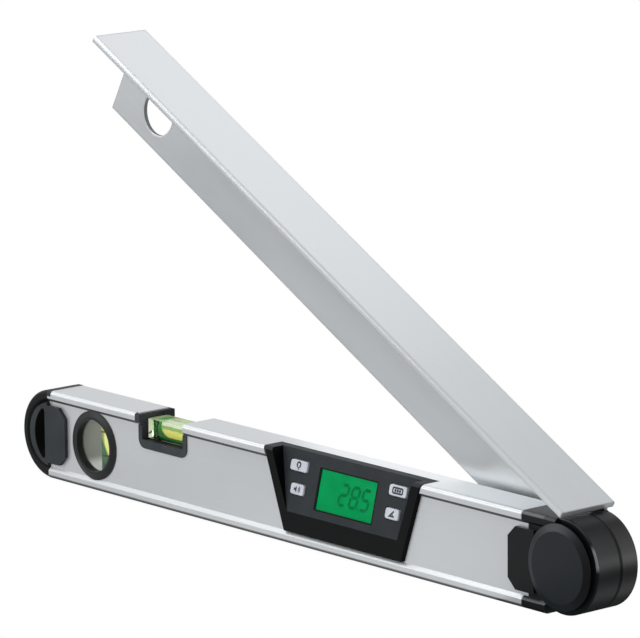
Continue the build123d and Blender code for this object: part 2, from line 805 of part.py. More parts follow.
with BuildPart() as key_mats:
    for side in (-1, 1):
        with BuildSketch(panel_plane.offset(-mat_back)) as mat_plan:
            with Locations((side * (button_inner + upper_wide / 2), (upper_up + lower_up) / 2)):
                RectangleRounded(
                    upper_wide + 2 * button_ledge,
                    upper_up - lower_up + 2 * button_high,
                    button_round,
                )
        extrude(amount=mat_thick)

# The four buttons, each a cap through the panel with a ledge behind it
with BuildPart() as button_light:
    x, up, wide = button_places["button_light"]
    with BuildSketch(panel_plane.offset(-flange_back)) as light_cap:
        with Locations((x, up)):
            RectangleRounded(wide, button_high, button_round)
    extrude(amount=flange_back + button_proud)
    fillet(button_light.faces().filter_by(panel_plane).sort_by(Axis.Z)[-1].edges(), edge_fine)
    with BuildSketch(panel_plane.offset(-flange_back)) as light_ledge:
        with Locations((x, up)):
            RectangleRounded(wide + 2 * button_ledge, button_high + 2 * button_ledge, button_round)
    extrude(amount=button_flange)
with BuildPart() as button_sound:
    x, up, wide = button_places["button_sound"]
    with BuildSketch(panel_plane.offset(-flange_back)) as sound_cap:
        with Locations((x, up)):
            RectangleRounded(wide, button_high, button_round)
    extrude(amount=flange_back + button_proud)
    fillet(button_sound.faces().filter_by(panel_plane).sort_by(Axis.Z)[-1].edges(), edge_fine)
    with BuildSketch(panel_plane.offset(-flange_back)) as sound_ledge:
        with Locations((x, up)):
            RectangleRounded(wide + 2 * button_ledge, button_high + 2 * button_ledge, button_round)
    extrude(amount=button_flange)
with BuildPart() as button_hold:
    x, up, wide = button_places["button_hold"]
    with BuildSketch(panel_plane.offset(-flange_back)) as hold_cap:
        with Locations((x, up)):
            RectangleRounded(wide, button_high, button_round)
    extrude(amount=flange_back + button_proud)
    fillet(button_hold.faces().filter_by(panel_plane).sort_by(Axis.Z)[-1].edges(), edge_fine)
    with BuildSketch(panel_plane.offset(-flange_back)) as hold_ledge:
        with Locations((x, up)):
            RectangleRounded(wide + 2 * button_ledge, button_high + 2 * button_ledge, button_round)
    extrude(amount=button_flange)
with BuildPart() as button_mode:
    x, up, wide = button_places["button_mode"]
    with BuildSketch(panel_plane.offset(-flange_back)) as mode_cap:
        with Locations((x, up)):
            RectangleRounded(wide, button_high, button_round)
    extrude(amount=flange_back + button_proud)
    fillet(button_mode.faces().filter_by(panel_plane).sort_by(Axis.Z)[-1].edges(), edge_fine)
    with BuildSketch(panel_plane.offset(-flange_back)) as mode_ledge:
        with Locations((x, up)):
            RectangleRounded(wide + 2 * button_ledge, button_high + 2 * button_ledge, button_round)
    extrude(amount=button_flange)

# Four screws hold the board to the posts
with BuildPart() as board_screws:
    with BuildSketch(panel_plane.offset(-board_back - screw_socket_deep)) as board_heads:
        with Locations((0, post_up)):
            with GridLocations(2 * post_x, post_spacing, 2, 2):
                Circle(post_radius)
    extrude(amount=screw_socket_deep)
    with BuildSketch(panel_plane.offset(-board_back)) as board_shanks:
        with Locations((0, post_up)):
            with GridLocations(2 * post_x, post_spacing, 2, 2):
                Circle(pilot_radius - skin)
    extrude(amount=board_thick + board_front - panel_thick - edge_soft)

# Battery tray, cells, contact plates and the door over them
with BuildPart() as battery_tray:
    with BuildSketch(at_y(cell_y - tray_front)) as tray_plan:
        with Locations((-battery_x, mid_height)):
            Rectangle(tray_length, tray_height)
    extrude(amount=tray_back - cell_y + tray_front)
    with BuildSketch(at_y(cell_y - tray_front + tray_wall)) as tray_room:
        with Locations((-battery_x, mid_height)):
            Rectangle(tray_length - 2 * tray_wall, tray_height - 2 * tray_wall)
    extrude(amount=profile_depth, mode=Mode.SUBTRACT)
with BuildPart() as battery_cells:
    for side in (-1, 1):
        end = battery_x - side * (cell_length + cell_nub_length) / 2
        with BuildSketch(Plane.YZ.offset(end)) as cell_round:
            with Locations((cell_y, mid_height + side * cell_apart / 2)):
                Circle(cell_radius)
        extrude(amount=side * cell_length)
        with BuildSketch(Plane.YZ.offset(end + side * cell_length)) as cell_cap:
            with Locations((cell_y, mid_height + side * cell_apart / 2)):
                Circle(cell_nub)
        extrude(amount=side * cell_nub_length)
with BuildPart() as battery_contacts:
    for side in (-1, 1):
        place = battery_x + side * (cell_length / 2 + cell_nub_length / 2 + fit / 2)
        with BuildSketch(Plane.YZ.offset(place)) as contact_plates:
            with Locations((cell_y, mid_height)):
                Rectangle(contact_wide, cell_apart + contact_wide)
        extrude(amount=side * contact_thick)
with BuildPart() as battery_door:
    with BuildSketch(at_y(web_face)) as door_plan:
        with Locations((-battery_x, mid_height)):
            RectangleRounded(door_wide, door_high, door_round)
    extrude(amount=door_thick)
    with BuildSketch(at_y(web_face)) as door_lug:
        with Locations((-battery_x, mid_height)):
            Rectangle(door_cut_wide - 2 * fit, door_cut_high - 2 * fit)
    extrude(amount=-profile_wall)
    with BuildSketch(at_y(web_face + door_thick)) as door_grip:
        with Locations((-battery_x - door_wide / 3, mid_height)):
            with GridLocations(grip_pitch, 1, grip_count, 1):
                Rectangle(grip_wide, door_high / 2)
    extrude(amount=-grip_deep, mode=Mode.SUBTRACT)
    fillet(battery_door.faces().sort_by(Axis.Y)[-1].outer_wire().edges(), edge_fine)

# The hub's fixed half: a stub of the profile's section, the front drum, the
# tongues and the hollow plug
with BuildPart() as hub_housing:
    with BuildSketch(Plane.YZ.offset(right_end + fit)) as stub_section:
        lipped_outline(stub_section)
    extrude(amount=pivot_from_end - stub_top - fit)
    with BuildSketch(Plane.XZ) as stub_trim:
        with Locations((pivot_x - stub_bottom, 0)):
            Rectangle(profile_height, mid_height, align=(Align.MIN, Align.MIN))
    extrude(amount=profile_depth, both=True, mode=Mode.SUBTRACT)
    for side in (-1, 1):
        with BuildSketch(Plane.XZ.offset(side * web_face)) as hub_tongues:
            Polygon(*tongue_corners(pivot_x - nose_face, right_end - hub_tongue), align=None)
        extrude(amount=side * tongue_thick)
    with BuildSketch(at_y(hub_split)) as arm_room:
        with Locations((-pivot_x, pivot_z)):
            Circle(drum_radius + gap)
        with Locations((stub_rear - pivot_x, mid_height)):
            Rectangle(profile_height, 2 * profile_height, align=(Align.MAX, Align.CENTER))
    extrude(amount=profile_depth, mode=Mode.SUBTRACT)
    with BuildSketch(at_y(-drum_front)) as nose_room:
        with Locations((-pivot_x, pivot_z)):
            Circle(nose_radius + fit)
    extrude(amount=-profile_depth, mode=Mode.SUBTRACT)
    with BuildSketch(spin_plane(pivot_x, pivot_z)) as drum_section:
        with Locations((0, -drum_front)):
            Rectangle(drum_radius, drum_front + hub_split, align=(Align.MIN, Align.MIN))
        fillet(drum_section.vertices().group_by(Axis.Y)[0].sort_by(Axis.X)[-1], drum_soft)
    revolve(axis=pivot_axis)
    with BuildSketch(Plane.YZ.offset(right_end)) as web_room:
        with Locations((-web_face, mid_height)):
            Rectangle(profile_wall + fit, lip_bottom - lip_root + 2 * fit, align=(Align.MIN, Align.CENTER))
    extrude(amount=web_reach + fit, mode=Mode.SUBTRACT)
    with BuildSketch(Plane.YZ.offset(right_end - plug_length)) as hub_plug:
        with Locations((0, mid_height)):
            RectangleRounded(plug_depth, plug_height, hollow_corner)
    extrude(amount=plug_length + fit)
    with BuildSketch(Plane.YZ.offset(right_end - plug_length)) as plug_room:
        with Locations((0, mid_height)):
            Rectangle(plug_depth - 2 * plug_wall, plug_height - 2 * plug_wall)
    extrude(amount=plug_length, mode=Mode.SUBTRACT)
    with BuildSketch(at_y(-drum_front)) as sensor_room:
        with Locations((-pivot_x, pivot_z)):
            Circle(hub_pocket)
    extrude(amount=drum_front - pocket_floor, mode=Mode.SUBTRACT)
    with BuildSketch(at_y(-drum_front)) as bush_seat:
        with Locations((-pivot_x, pivot_z)):
            Circle(bush_radius + skin)
    extrude(amount=profile_depth, mode=Mode.SUBTRACT)
    for z in screw_heights:
        with Locations(Plane((hub_screw_x, tongue_face, z), (-1, 0, 0), (0, 1, 0))):
            CounterSinkHole(screw_hole, screw_head + fit, depth=screw_length + fit)

# The nose: a bevelled cap in front of the drum, standing on a narrower neck
with BuildPart() as hub_nose:
    with BuildSketch(spin_plane(pivot_x, pivot_z)) as nose_section:
        nose_top = half_depth + nose_proud
        Polygon(
            (0, -nose_top),
            (nose_face, -nose_top),
            (nose_radius, nose_bevel - nose_top),
            (nose_radius, -neck_front),
            (neck_radius, -neck_front),
            (neck_radius, -drum_front),
            (hub_pocket - fit, -drum_front),
            (hub_pocket - fit, spigot_length - drum_front),
            (hub_pocket - fit - spigot_wall, spigot_length - drum_front),
            (hub_pocket - fit - spigot_wall, -neck_front),
            (0, -neck_front),
            align=None,
        )
    revolve(axis=pivot_axis)

# Bush in the fixed half; shaft, washers, nut and sensor disc on the arm's side
with BuildPart() as pivot_bush:
    with BuildSketch(at_y(-pocket_floor)) as bush_ring:
        with Locations((-pivot_x, pivot_z)):
            Circle(bush_radius)
            Circle(shaft_radius + run_fit, mode=Mode.SUBTRACT)
    extrude(amount=pocket_floor + hub_split)
with BuildPart() as pivot_shaft:
    with BuildSketch(at_y(-shaft_end)) as shaft_round:
        with Locations((-pivot_x, pivot_z)):
            Circle(shaft_radius)
    extrude(amount=shaft_end + arm_hub_back)
    with BuildSketch(at_y(arm_hub_back - shaft_head_thick)) as shaft_flange:
        with Locations((-pivot_x, pivot_z)):
            Circle(shaft_head)
    extrude(amount=shaft_head_thick)
washer_back = pocket_floor + gap
with BuildPart() as friction_washer:
    with BuildSketch(at_y(-washer_back)) as washer_ring:
        with Locations((-pivot_x, pivot_z)):
            Circle(washer_radius)
            Circle(shaft_radius + skin, mode=Mode.SUBTRACT)
    extrude(amount=-washer_thick)
spring_back = washer_back + washer_thick + skin
with BuildPart() as disc_spring:
    with BuildSketch(spin_plane(pivot_x, pivot_z)) as spring_section:
        Polygon(
            (shaft_radius + skin, -spring_back - spring_washer),
            (washer_radius, skin - spring_back - spring_washer / 2),
            (washer_radius, -spring_back),
            (shaft_radius + skin, -spring_back - spring_washer / 2),
            align=None,
        )
    revolve(axis=pivot_axis)
with BuildPart() as shaft_nut:
    with BuildSketch(at_y(-nut_front)) as nut_hex:
        with Locations((-pivot_x, pivot_z)):
            RegularPolygon(nut_across / 2, 6, major_radius=False)
            Circle(shaft_radius + skin, mode=Mode.SUBTRACT)
    extrude(amount=nut_thick)
with BuildPart() as sensor_disc:
    with BuildSketch(at_y(-rotor_back)) as rotor_ring:
        with Locations((-pivot_x, pivot_z)):
            Circle(rotor_radius)
            Circle(shaft_radius + skin, mode=Mode.SUBTRACT)
            with PolarLocations(rotor_radius - rotor_slot_long, rotor_slots):
                Rectangle(rotor_slot_long, rotor_slot_wide, mode=Mode.SUBTRACT)
    extrude(amount=-rotor_thick)
with BuildPart() as sensor_board:
    with BuildSketch(at_y(-encoder_back)) as sensor_plan:
        with Locations((-pivot_x, pivot_z)):
            Circle(encoder_radius)
            Circle(encoder_bore, mode=Mode.SUBTRACT)
    extrude(amount=-encoder_thick)

# The arm: plate and rear web, with the sight hole near its free end
with BuildPart() as arm_profile:
    with BuildSketch(arm_section) as arm_outline:
        Polygon(
            (plate_front, plate_inner),
            (plate_front, plate_inner + plate_thick - plate_edge),
            (plate_front - plate_edge, plate_inner + plate_thick),
            (plate_edge - plate_back, plate_inner + plate_thick),
            (-plate_back, plate_inner + plate_thick - plate_edge),
            (-plate_back, plate_inner),
            (-web_back, plate_inner),
            (-web_back, plate_inner - web_height),
            (-web_front, plate_inner - web_height),
            (-web_front, plate_inner - web_corner),
            (web_corner - web_front, plate_inner),
            align=None,
        )
    extrude(amount=arm_end - arm_start)
    with BuildSketch(arm_plane) as sight_hole:
        with Locations((sight_along, -sight_drop)):
            Circle(sight_radius)
    extrude(amount=2 * profile_depth, mode=Mode.SUBTRACT)
    with BuildSketch(arm_plane) as arm_screw_holes:
        for along in (arm_screw_near, arm_screw_far):
            with GridLocations(1, 2 * arm_screw_half, 1, 2):
                with Locations((along, 0)):
                    Circle(screw_hole)
    extrude(amount=2 * profile_depth, mode=Mode.SUBTRACT)

# The arm's half of the hub: drum, filler beside the web, horn in front of the
# web's end, rib along the web
with BuildPart() as arm_hub:
    with BuildSketch(arm_plane.offset(arm_hub_front)) as arm_drum:
        Circle(drum_radius)
    extrude(amount=arm_hub_back - arm_hub_front)
    with BuildSketch(arm_plane.offset(arm_hub_back)) as filler:
        Circle(drum_radius)
        with Locations((boss_edge, 0)):
            Rectangle(
                profile_height,
                2 * profile_height,
                align=(Align.MIN, Align.CENTER),
                mode=Mode.SUBTRACT,
            )
    extrude(amount=web_back - arm_hub_back)
    with BuildSketch(arm_plane.offset(rib_front)) as horn:
        with Locations((boss_edge, 0)):
            Rectangle(horn_wide, foot_top, align=(Align.MAX, Align.MIN))
    extrude(amount=web_back - rib_front)
    with BuildSketch(arm_plane.offset(rib_front)) as web_rib:
        with Locations((arm_start, 0)):
            Rectangle(rib_reach - arm_start, 2 * rib_half, align=(Align.MIN, Align.CENTER))
        with Locations((boss_edge, 0)):
            Rectangle(gap + rib_foot, foot_top, align=(Align.MIN, Align.MIN))
    extrude(amount=arm_hub_back - rib_front)
    with BuildSketch(arm_plane.offset(arm_hub_front)) as shaft_way:
        Circle(shaft_radius + skin)
    extrude(amount=profile_depth, mode=Mode.SUBTRACT)
    with BuildSketch(arm_plane.offset(arm_hub_back - shaft_head_thick - skin)) as head_way:
        Circle(shaft_head + skin)
    extrude(amount=profile_depth, mode=Mode.SUBTRACT)
    with BuildSketch(arm_plane.offset(web_back)) as arm_pilots:
        for along in (arm_screw_near, arm_screw_far):
            with GridLocations(1, 2 * arm_screw_half, 1, 2):
                with Locations((along, 0)):
                    Circle(screw_hole)
    extrude(amount=-arm_screw_length, mode=Mode.SUBTRACT)

# The rear cover over the arm's hub
with BuildPart() as arm_hub_cover:
    with BuildSketch(arm_plane.offset(web_back + skin)) as cover_round:
        Circle(cover_radius)
        with GridLocations(1, 2 * arm_screw_half, 1, 2):
            with Locations((arm_screw_near, 0)):
                Circle(screw_head + fit, mode=Mode.SUBTRACT)
    extrude(amount=cover_thick)
    chamfer(arm_hub_cover.faces().sort_by(Axis.Y)[-1].outer_wire().edges(), cover_bevel)

# Countersunk screws through the rear tongues, all alike
with BuildPart() as tongue_screws:
    for x in (cap_screw_x, hub_screw_x):
        for z in screw_heights:
            with BuildSketch(Plane((x, tongue_face, z), (-1, 0, 0), (0, 0, -1))) as screw_section:
                Polygon(
                    (0, -screw_socket_deep),
                    (screw_socket, -screw_socket_deep),
                    (screw_socket, 0),
                    (screw_head, 0),
                    (screw_shank, screw_shank - screw_head),
                    (screw_shank, -screw_length),
                    (0, -screw_length),
                    align=None,
                )
            revolve(axis=Axis((x, 0, z), (0, 1, 0)))

# Flat-headed screws through the arm's web into its hub, all alike
with BuildPart() as arm_screws:
    for along in (arm_screw_near, arm_screw_far):
        for across in (-arm_screw_half, arm_screw_half):
            with BuildSketch(arm_plane.offset(web_back)) as arm_heads:
                with Locations((along, across)):
                    Circle(screw_head)
            extrude(amount=cover_thick)
            with BuildSketch(arm_plane.offset(web_back + cover_thick)) as arm_sockets:
                with Locations((along, across)):
                    RegularPolygon(screw_socket, 6)
            extrude(amount=-screw_socket_deep, mode=Mode.SUBTRACT)
            with BuildSketch(arm_plane.offset(web_back)) as arm_shanks:
                with Locations((along, across)):
                    Circle(screw_shank)
            extrude(amount=skin - arm_screw_length)

# One file for each piece
pieces = {
    "base_profile": base_profile,
    "end_cap": end_cap,
    "plumb_bezel_front": plumb_bezel_front,
    "plumb_bezel_rear": plumb_bezel_rear,
    "plumb_lens_front": plumb_lens_front,
    "plumb_lens_rear": plumb_lens_rear,
    "plumb_sleeve": plumb_sleeve,
    "plumb_vial_tube": plumb_vial_tube,
    "plumb_vial_fluid": plumb_vial_fluid,
    "plumb_vial_rings": plumb_vial_rings,
    "plumb_bubble": plumb_bubble,
    "level_saddle": level_saddle,
    "level_vial_block": level_vial_block,
    "level_vial_fluid": level_vial_fluid,
    "level_vial_rings": level_vial_rings,
    "level_bubble": level_bubble,
    "vial_plugs": vial_plugs,
    "display_housing": display_housing,
    "display_window": display_window,
    "lcd_glass": lcd_glass,
    "backlight": backlight,
    "main_board": main_board,
    "push_switches": push_switches,
    "key_mats": key_mats,
    "button_light": button_light,
    "button_sound": button_sound,
    "button_hold": button_hold,
    "button_mode": button_mode,
    "board_screws": board_screws,
    "battery_tray": battery_tray,
    "battery_cells": battery_cells,
    "battery_contacts": battery_contacts,
    "battery_door": battery_door,
    "hub_housing": hub_housing,
    "hub_nose": hub_nose,
    "pivot_bush": pivot_bush,
    "sensor_board": sensor_board,
    "tongue_screws": tongue_screws,
    "arm_profile": arm_profile,
    "arm_hub": arm_hub,
    "arm_hub_cover": arm_hub_cover,
    "arm_screws": arm_screws,
    "pivot_shaft": pivot_shaft,
    "friction_washer": friction_washer,
    "disc_spring": disc_spring,
    "shaft_nut": shaft_nut,
    "sensor_disc": sensor_disc,
}
for name, piece in pieces.items():
    piece.part.label = name
    export_step(piece.part, "parts/" + name + ".step")
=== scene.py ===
# %% [markdown]
# # A digital angle finder level
#
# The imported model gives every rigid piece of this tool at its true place, in metres. This script
# dresses it: it gives each piece its finish, adds what is too fine for the solid model (the vials as
# one sees them, the digits in the display, the signs on the keys), and sets up a plain white studio
# with the camera where the photographer stood. Lengths are in metres, and where a helper takes
# millimetres, it says so.

# %% Load the frame
import json
import math
import bmesh
import bpy
from mathutils import Matrix, Vector


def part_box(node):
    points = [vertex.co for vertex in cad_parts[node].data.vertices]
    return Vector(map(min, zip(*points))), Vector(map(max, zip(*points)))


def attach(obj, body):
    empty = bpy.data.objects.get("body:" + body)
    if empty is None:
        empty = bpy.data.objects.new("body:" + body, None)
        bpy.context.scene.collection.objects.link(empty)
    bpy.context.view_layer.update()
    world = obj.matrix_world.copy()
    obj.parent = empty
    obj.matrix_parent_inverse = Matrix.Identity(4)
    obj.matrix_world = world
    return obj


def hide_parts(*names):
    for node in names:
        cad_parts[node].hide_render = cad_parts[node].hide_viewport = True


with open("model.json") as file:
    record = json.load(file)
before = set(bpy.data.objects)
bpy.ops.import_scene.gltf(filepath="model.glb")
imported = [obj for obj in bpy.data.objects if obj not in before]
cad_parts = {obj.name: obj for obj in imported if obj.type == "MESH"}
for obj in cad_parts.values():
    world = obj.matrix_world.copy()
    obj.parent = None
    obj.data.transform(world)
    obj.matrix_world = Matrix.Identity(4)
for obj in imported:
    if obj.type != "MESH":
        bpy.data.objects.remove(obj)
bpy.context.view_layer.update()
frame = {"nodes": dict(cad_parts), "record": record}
MM = 0.001

# %% [markdown]
# ## Shader maths as plain expressions
#
# A finish is a small calculation: where on the piece am I, how scratched is it there, how dark. In
# Blender each step is a node, and wiring nodes by hand is long-winded. One small class wraps a socket
# so that `1 - mask * 0.3` adds the Math nodes by itself.


# %% The socket wrapper
class Value:
    """A number that varies over a surface: an output socket with operators."""

    def __init__(self, finish, socket):
        self.finish = finish
        self.socket = socket

    def _math(self, operation, first, second):
        return self.finish.add("ShaderNodeMath", {"operation": operation}, {0: first, 1: second})

    def __add__(self, other):
        return self._math("ADD", self, other)

    def __radd__(self, other):
        return self._math("ADD", other, self)

    def __sub__(self, other):
        return self._math("SUBTRACT", self, other)

    def __rsub__(self, other):
        return self._math("SUBTRACT", other, self)

    def __mul__(self, other):
        return self._math("MULTIPLY", self, other)

    def __rmul__(self, other):
        return self._math("MULTIPLY", other, self)


# %% [markdown]
# ### A finish
#
# A second class holds a material. Its method `add` makes any other node in a single call, and the ones
# that are needed most have short names: where a spot is, which way it faces, noise, a soft step, a mix
# of two colours, a bump. Then `dress` gives a finish to pieces of the model.


# %% The finish
class Finish:
    """A material under construction, with its Principled shader at hand."""

    def __init__(self, name, library=None, shader="Principled BSDF", **constants):
        self.material = (bpy.data.materials if library is None else library).new(name)
        self.material.use_nodes = True
        self.tree = self.material.node_tree
        self.shader = self.tree.nodes[shader]
        for socket, value in constants.items():
            self.shader.inputs[socket.replace("_", " ")].default_value = value

    def add(self, kind, settings=None, sockets=None, outlet=0):
        """Adds one node: its settings first, then its sockets' values or links."""
        node = self.tree.nodes.new(kind)
        for key, value in (settings or {}).items():
            setattr(node, key, value)
        for key, value in (sockets or {}).items():
            if isinstance(value, Value):
                self.tree.links.new(value.socket, node.inputs[key])
            else:
                node.inputs[key].default_value = value
        return Value(self, node.outputs[outlet])

    def feed(self, socket, value):
        """Links a varying value or colour into the shader."""
        self.tree.links.new(value.socket, self.shader.inputs[socket])

    def parts(self, vector):
        """The X, Y and Z of a vector."""
        split = self.add("ShaderNodeSeparateXYZ", None, {0: vector})
        return [Value(self, outlet) for outlet in split.socket.node.outputs]

    def facing(self):
        """X, Y and Z of the direction in which the surface looks."""
        return self.parts(self.add("ShaderNodeTexCoord", outlet="Normal"))

    def place(self, turn=0.0):
        """Object coordinates in metres, turned about Y so that X runs along the piece."""
        spot = self.add("ShaderNodeTexCoord", outlet="Object")
        if not turn:
            return spot
        return self.add("ShaderNodeMapping", None, {"Vector": spot, "Rotation": (0.0, -turn, 0.0)})

    def stretch(self, spot, scale):
        """The same coordinates, scaled along each axis."""
        return self.add("ShaderNodeVectorMath", {"operation": "MULTIPLY"}, {0: spot, 1: scale})

    def noise(self, spot, scale, detail=2.0, rough=0.5):
        """Soft noise around 0.5."""
        sockets = {"Vector": spot, "Scale": scale, "Detail": detail, "Roughness": rough}
        return self.add("ShaderNodeTexNoise", None, sockets)

    def span(self, value, low, high, start=0.0, stop=1.0):
        """Maps low..high to start..stop, with soft ends."""
        sockets = {"Value": value, "From Min": low, "From Max": high, "To Min": start, "To Max": stop}
        return self.add("ShaderNodeMapRange", {"interpolation_type": "SMOOTHSTEP"}, sockets)

    def around(self, squared, near, far, inside, outside):
        """Goes from inside to outside between two distances in millimetres, by the distance squared."""
        return self.span(squared, (near * MM) ** 2, (far * MM) ** 2, inside, outside)

    def tint(self, factor, first, second):
        """A colour between two, each three numbers or a colour that varies."""
        start, stop = [end if isinstance(end, Value) else (*end, 1.0) for end in (first, second)]
        return self.add("ShaderNodeMix", {"data_type": "RGBA"}, {0: factor, 6: start, 7: stop}, 2)

    def paint(self, factor, first, second):
        """A base colour between two colours."""
        self.feed("Base Color", self.tint(factor, first, second))

    def sheen(self, noise, smooth, rough):
        """Roughness between two values, as a noise goes."""
        self.feed("Roughness", self.span(noise, 0.3, 0.7, smooth, rough))

    def relief(self, height, distance, strength, round_edges):
        """Bump from a height, over edges that are softened in the shading."""
        sockets = {"Height": height, "Distance": distance, "Strength": strength}
        if round_edges:
            sockets["Normal"] = self.add("ShaderNodeBevel", {"samples": 4}, {"Radius": round_edges})
        self.feed("Normal", self.add("ShaderNodeBump", None, sockets))


def dress(finish, *nodes):
    """Gives CAD nodes a finish."""
    for name in nodes:
        piece = frame["nodes"][name]
        if not piece.material_slots:
            piece.data.materials.append(finish.material)
        for slot in piece.material_slots:
            slot.material = finish.material
    print(finish.material.name, "on", *nodes)


# %% [markdown]
# ## Brushed aluminium
#
# Level and arm are extrusions, brushed along their length and clear anodised. What one sees is metal
# with very long, very fine lines. Noise that is stretched a few hundred times along the piece gives
# the lines, and a cloudy noise keeps large faces from looking flat. Faces that look up are polished
# by use and mirror like bare metal, and the others are satin, so they scatter a part of the light. The
# undersides of the lips are painted dark and made rougher, more so at the front: painted shade, which
# draws the dark line along each lip.

# %% Aluminium for the level
ALUMINIUM = (0.702, 0.728, 0.747)
PAINTED_SHADE_COLOUR = (0.035, 0.036, 0.038)
LONG_LINES = (12.0, 2600.0, 2600.0)
SHORT_LINES = (40.0, 9000.0, 9000.0)
LONG_CLOUDS = (14.0, 30.0, 30.0)


def aluminium(name, turn, edge, satin, find_painted_shade):
    """Metal that is brushed along the piece, and painted darker and rougher, as shade, where the last
    argument's mask is high.
    """
    metal = Finish(name)
    spot = metal.place(turn)
    lines = metal.noise(metal.stretch(spot, LONG_LINES), 1.0, 3.0, 0.6)
    fine = metal.noise(metal.stretch(spot, SHORT_LINES), 1.0)
    cloud = metal.noise(metal.stretch(spot, LONG_CLOUDS), 1.0, 3.0)
    shade = metal.span(lines * 0.55 + cloud * 0.45, 0.3, 0.7)
    clean = metal.tint(shade, [c * 0.965 for c in ALUMINIUM], [c * 1.03 for c in ALUMINIUM])
    front, up = metal.facing()[1:]
    # Painted shade: the metal is painted darker, and made rougher, where this mask is high.
    painted_shade = find_painted_shade(metal, spot)
    metal.paint(painted_shade, clean, PAINTED_SHADE_COLOUR)
    metal.feed("Metallic", metal.span(up, 0.7, 0.95, satin, 1.0))
    rough = metal.span(lines * 0.6 + cloud * 0.4, 0.25, 0.75, 0.27, 0.38)
    lip = metal.span(up * up * front * front, 0.05, 0.2)
    metal.feed("Roughness", rough + painted_shade * 0.2 + lip * 0.1)
    metal.relief(lines * 0.7 + fine * 0.3, 0.02 * MM, 0.35, edge)
    return metal


def lip_underside_shade(metal, spot):
    """Painted shade on the level: dark on the undersides of its lips, and less at the rear."""
    front, up = metal.facing()[1:]
    under = metal.span(up * -1.0, -0.1, 0.34) * metal.span(front * front, 0.05, 0.2)
    return under * metal.span(front, -0.3, 0.3, 0.93, 0.35)


dress(aluminium("level_aluminium", 0.0, 0.3 * MM, 0.55, lip_underside_shade), "base_profile")

# %% [markdown]
# ### The arm
#
# The arm is an angle: a plate, and a web along its rear. The web is painted darker towards the plate:
# painted shade in the corner between the two. The wall of the sight hole is painted darker still, as shade.
# Both are found from places along and across the arm, measured from its hinge in the model.

# %% The arm's aluminium
joints = {joint["name"]: joint for joint in frame["record"]["behaviour"]["joints"]}
arm_angle = math.radians(-joints["arm_hinge"]["range_deg"][0])
hinge = Vector(joints["arm_hinge"]["pos_m"])
hinge_along = hinge.x * math.cos(arm_angle) - hinge.z * math.sin(arm_angle)
hinge_over = hinge.x * math.sin(arm_angle) + hinge.z * math.cos(arm_angle)
PLATE_INSIDE = 23.9 * MM
WEB_EDGE = -18.8 * MM
SIGHT_ALONG = 379.3 * MM
SIGHT_OVER = -2.5 * MM
SIGHT_RADIUS = 12.2


def arm_painted_shade(metal, spot):
    """Painted shade on the arm: more towards its inside corner, and on the wall of its hole."""
    along, depth, over = metal.parts(spot)
    front = metal.facing()[1]
    # Painted shade in the corner between web and plate.
    corner = metal.span(over, hinge_over + WEB_EDGE, hinge_over + PLATE_INSIDE, 0.1, 0.24)
    corner = corner * metal.span(front * -1.0, 0.4, 0.8) * metal.span(depth, -4.0 * MM, 4.0 * MM)
    side = along - (hinge_along - SIGHT_ALONG)
    rise = over - (hinge_over + SIGHT_OVER)
    # Painted shade on the wall of the sight hole.
    wall = metal.around(side * side + rise * rise, SIGHT_RADIUS, SIGHT_RADIUS * 1.03, 0.72, 0.0)
    return corner + wall * metal.span(front * front, 0.2, 0.7, 1.0, 0.0)


dress(aluminium("arm_aluminium", arm_angle, 1.5 * MM, 0.72, arm_painted_shade), "arm_profile")
print("arm open", round(math.degrees(arm_angle), 1), "degrees")

# %% [markdown]
# ## Moulded black plastic
#
# The cap, the hub and the display housing are moulded in a black that is never quite black: it is a
# little blue, finely grained, and its gloss comes from the grain. A coarse noise varies the colour, a
# fine one makes the grain, and the shading of sharp edges is rounded as a mould leaves them. Where that
# rounding turns the surface away from its flat faces, the edges are painted paler: partly the wear of
# hands, partly a painted highlight. The round side of the hub and its bevels are polished by the same
# hands, and get a thin coat. Each piece may also have places with painted highlights in pale grey, and
# places painted dark, mostly as painted shade. They could be painted on a picture of the unfolded piece;
# found from place and direction, they need no picture.

# %% Plastic
COARSE, FINE, FINEST = 0.03 * MM, 0.02 * MM, 0.01 * MM
# Pale grey for painted highlights, and black for painted shade.
PAINTED_HIGHLIGHT_GREY = (0.42, 0.43, 0.44)
SHADOW_BLACK = (0.003, 0.0032, 0.0034)


def mottled(plastic, spot):
    """Coarse clouds, the fine specks of the grain, and a shade from both."""
    cloud = plastic.noise(spot, 70.0, 3.0)
    speck = plastic.noise(spot, 2600.0, 2.0, 0.6)
    return cloud, speck, plastic.span(cloud * 0.6 + speck * 0.4, 0.3, 0.7)


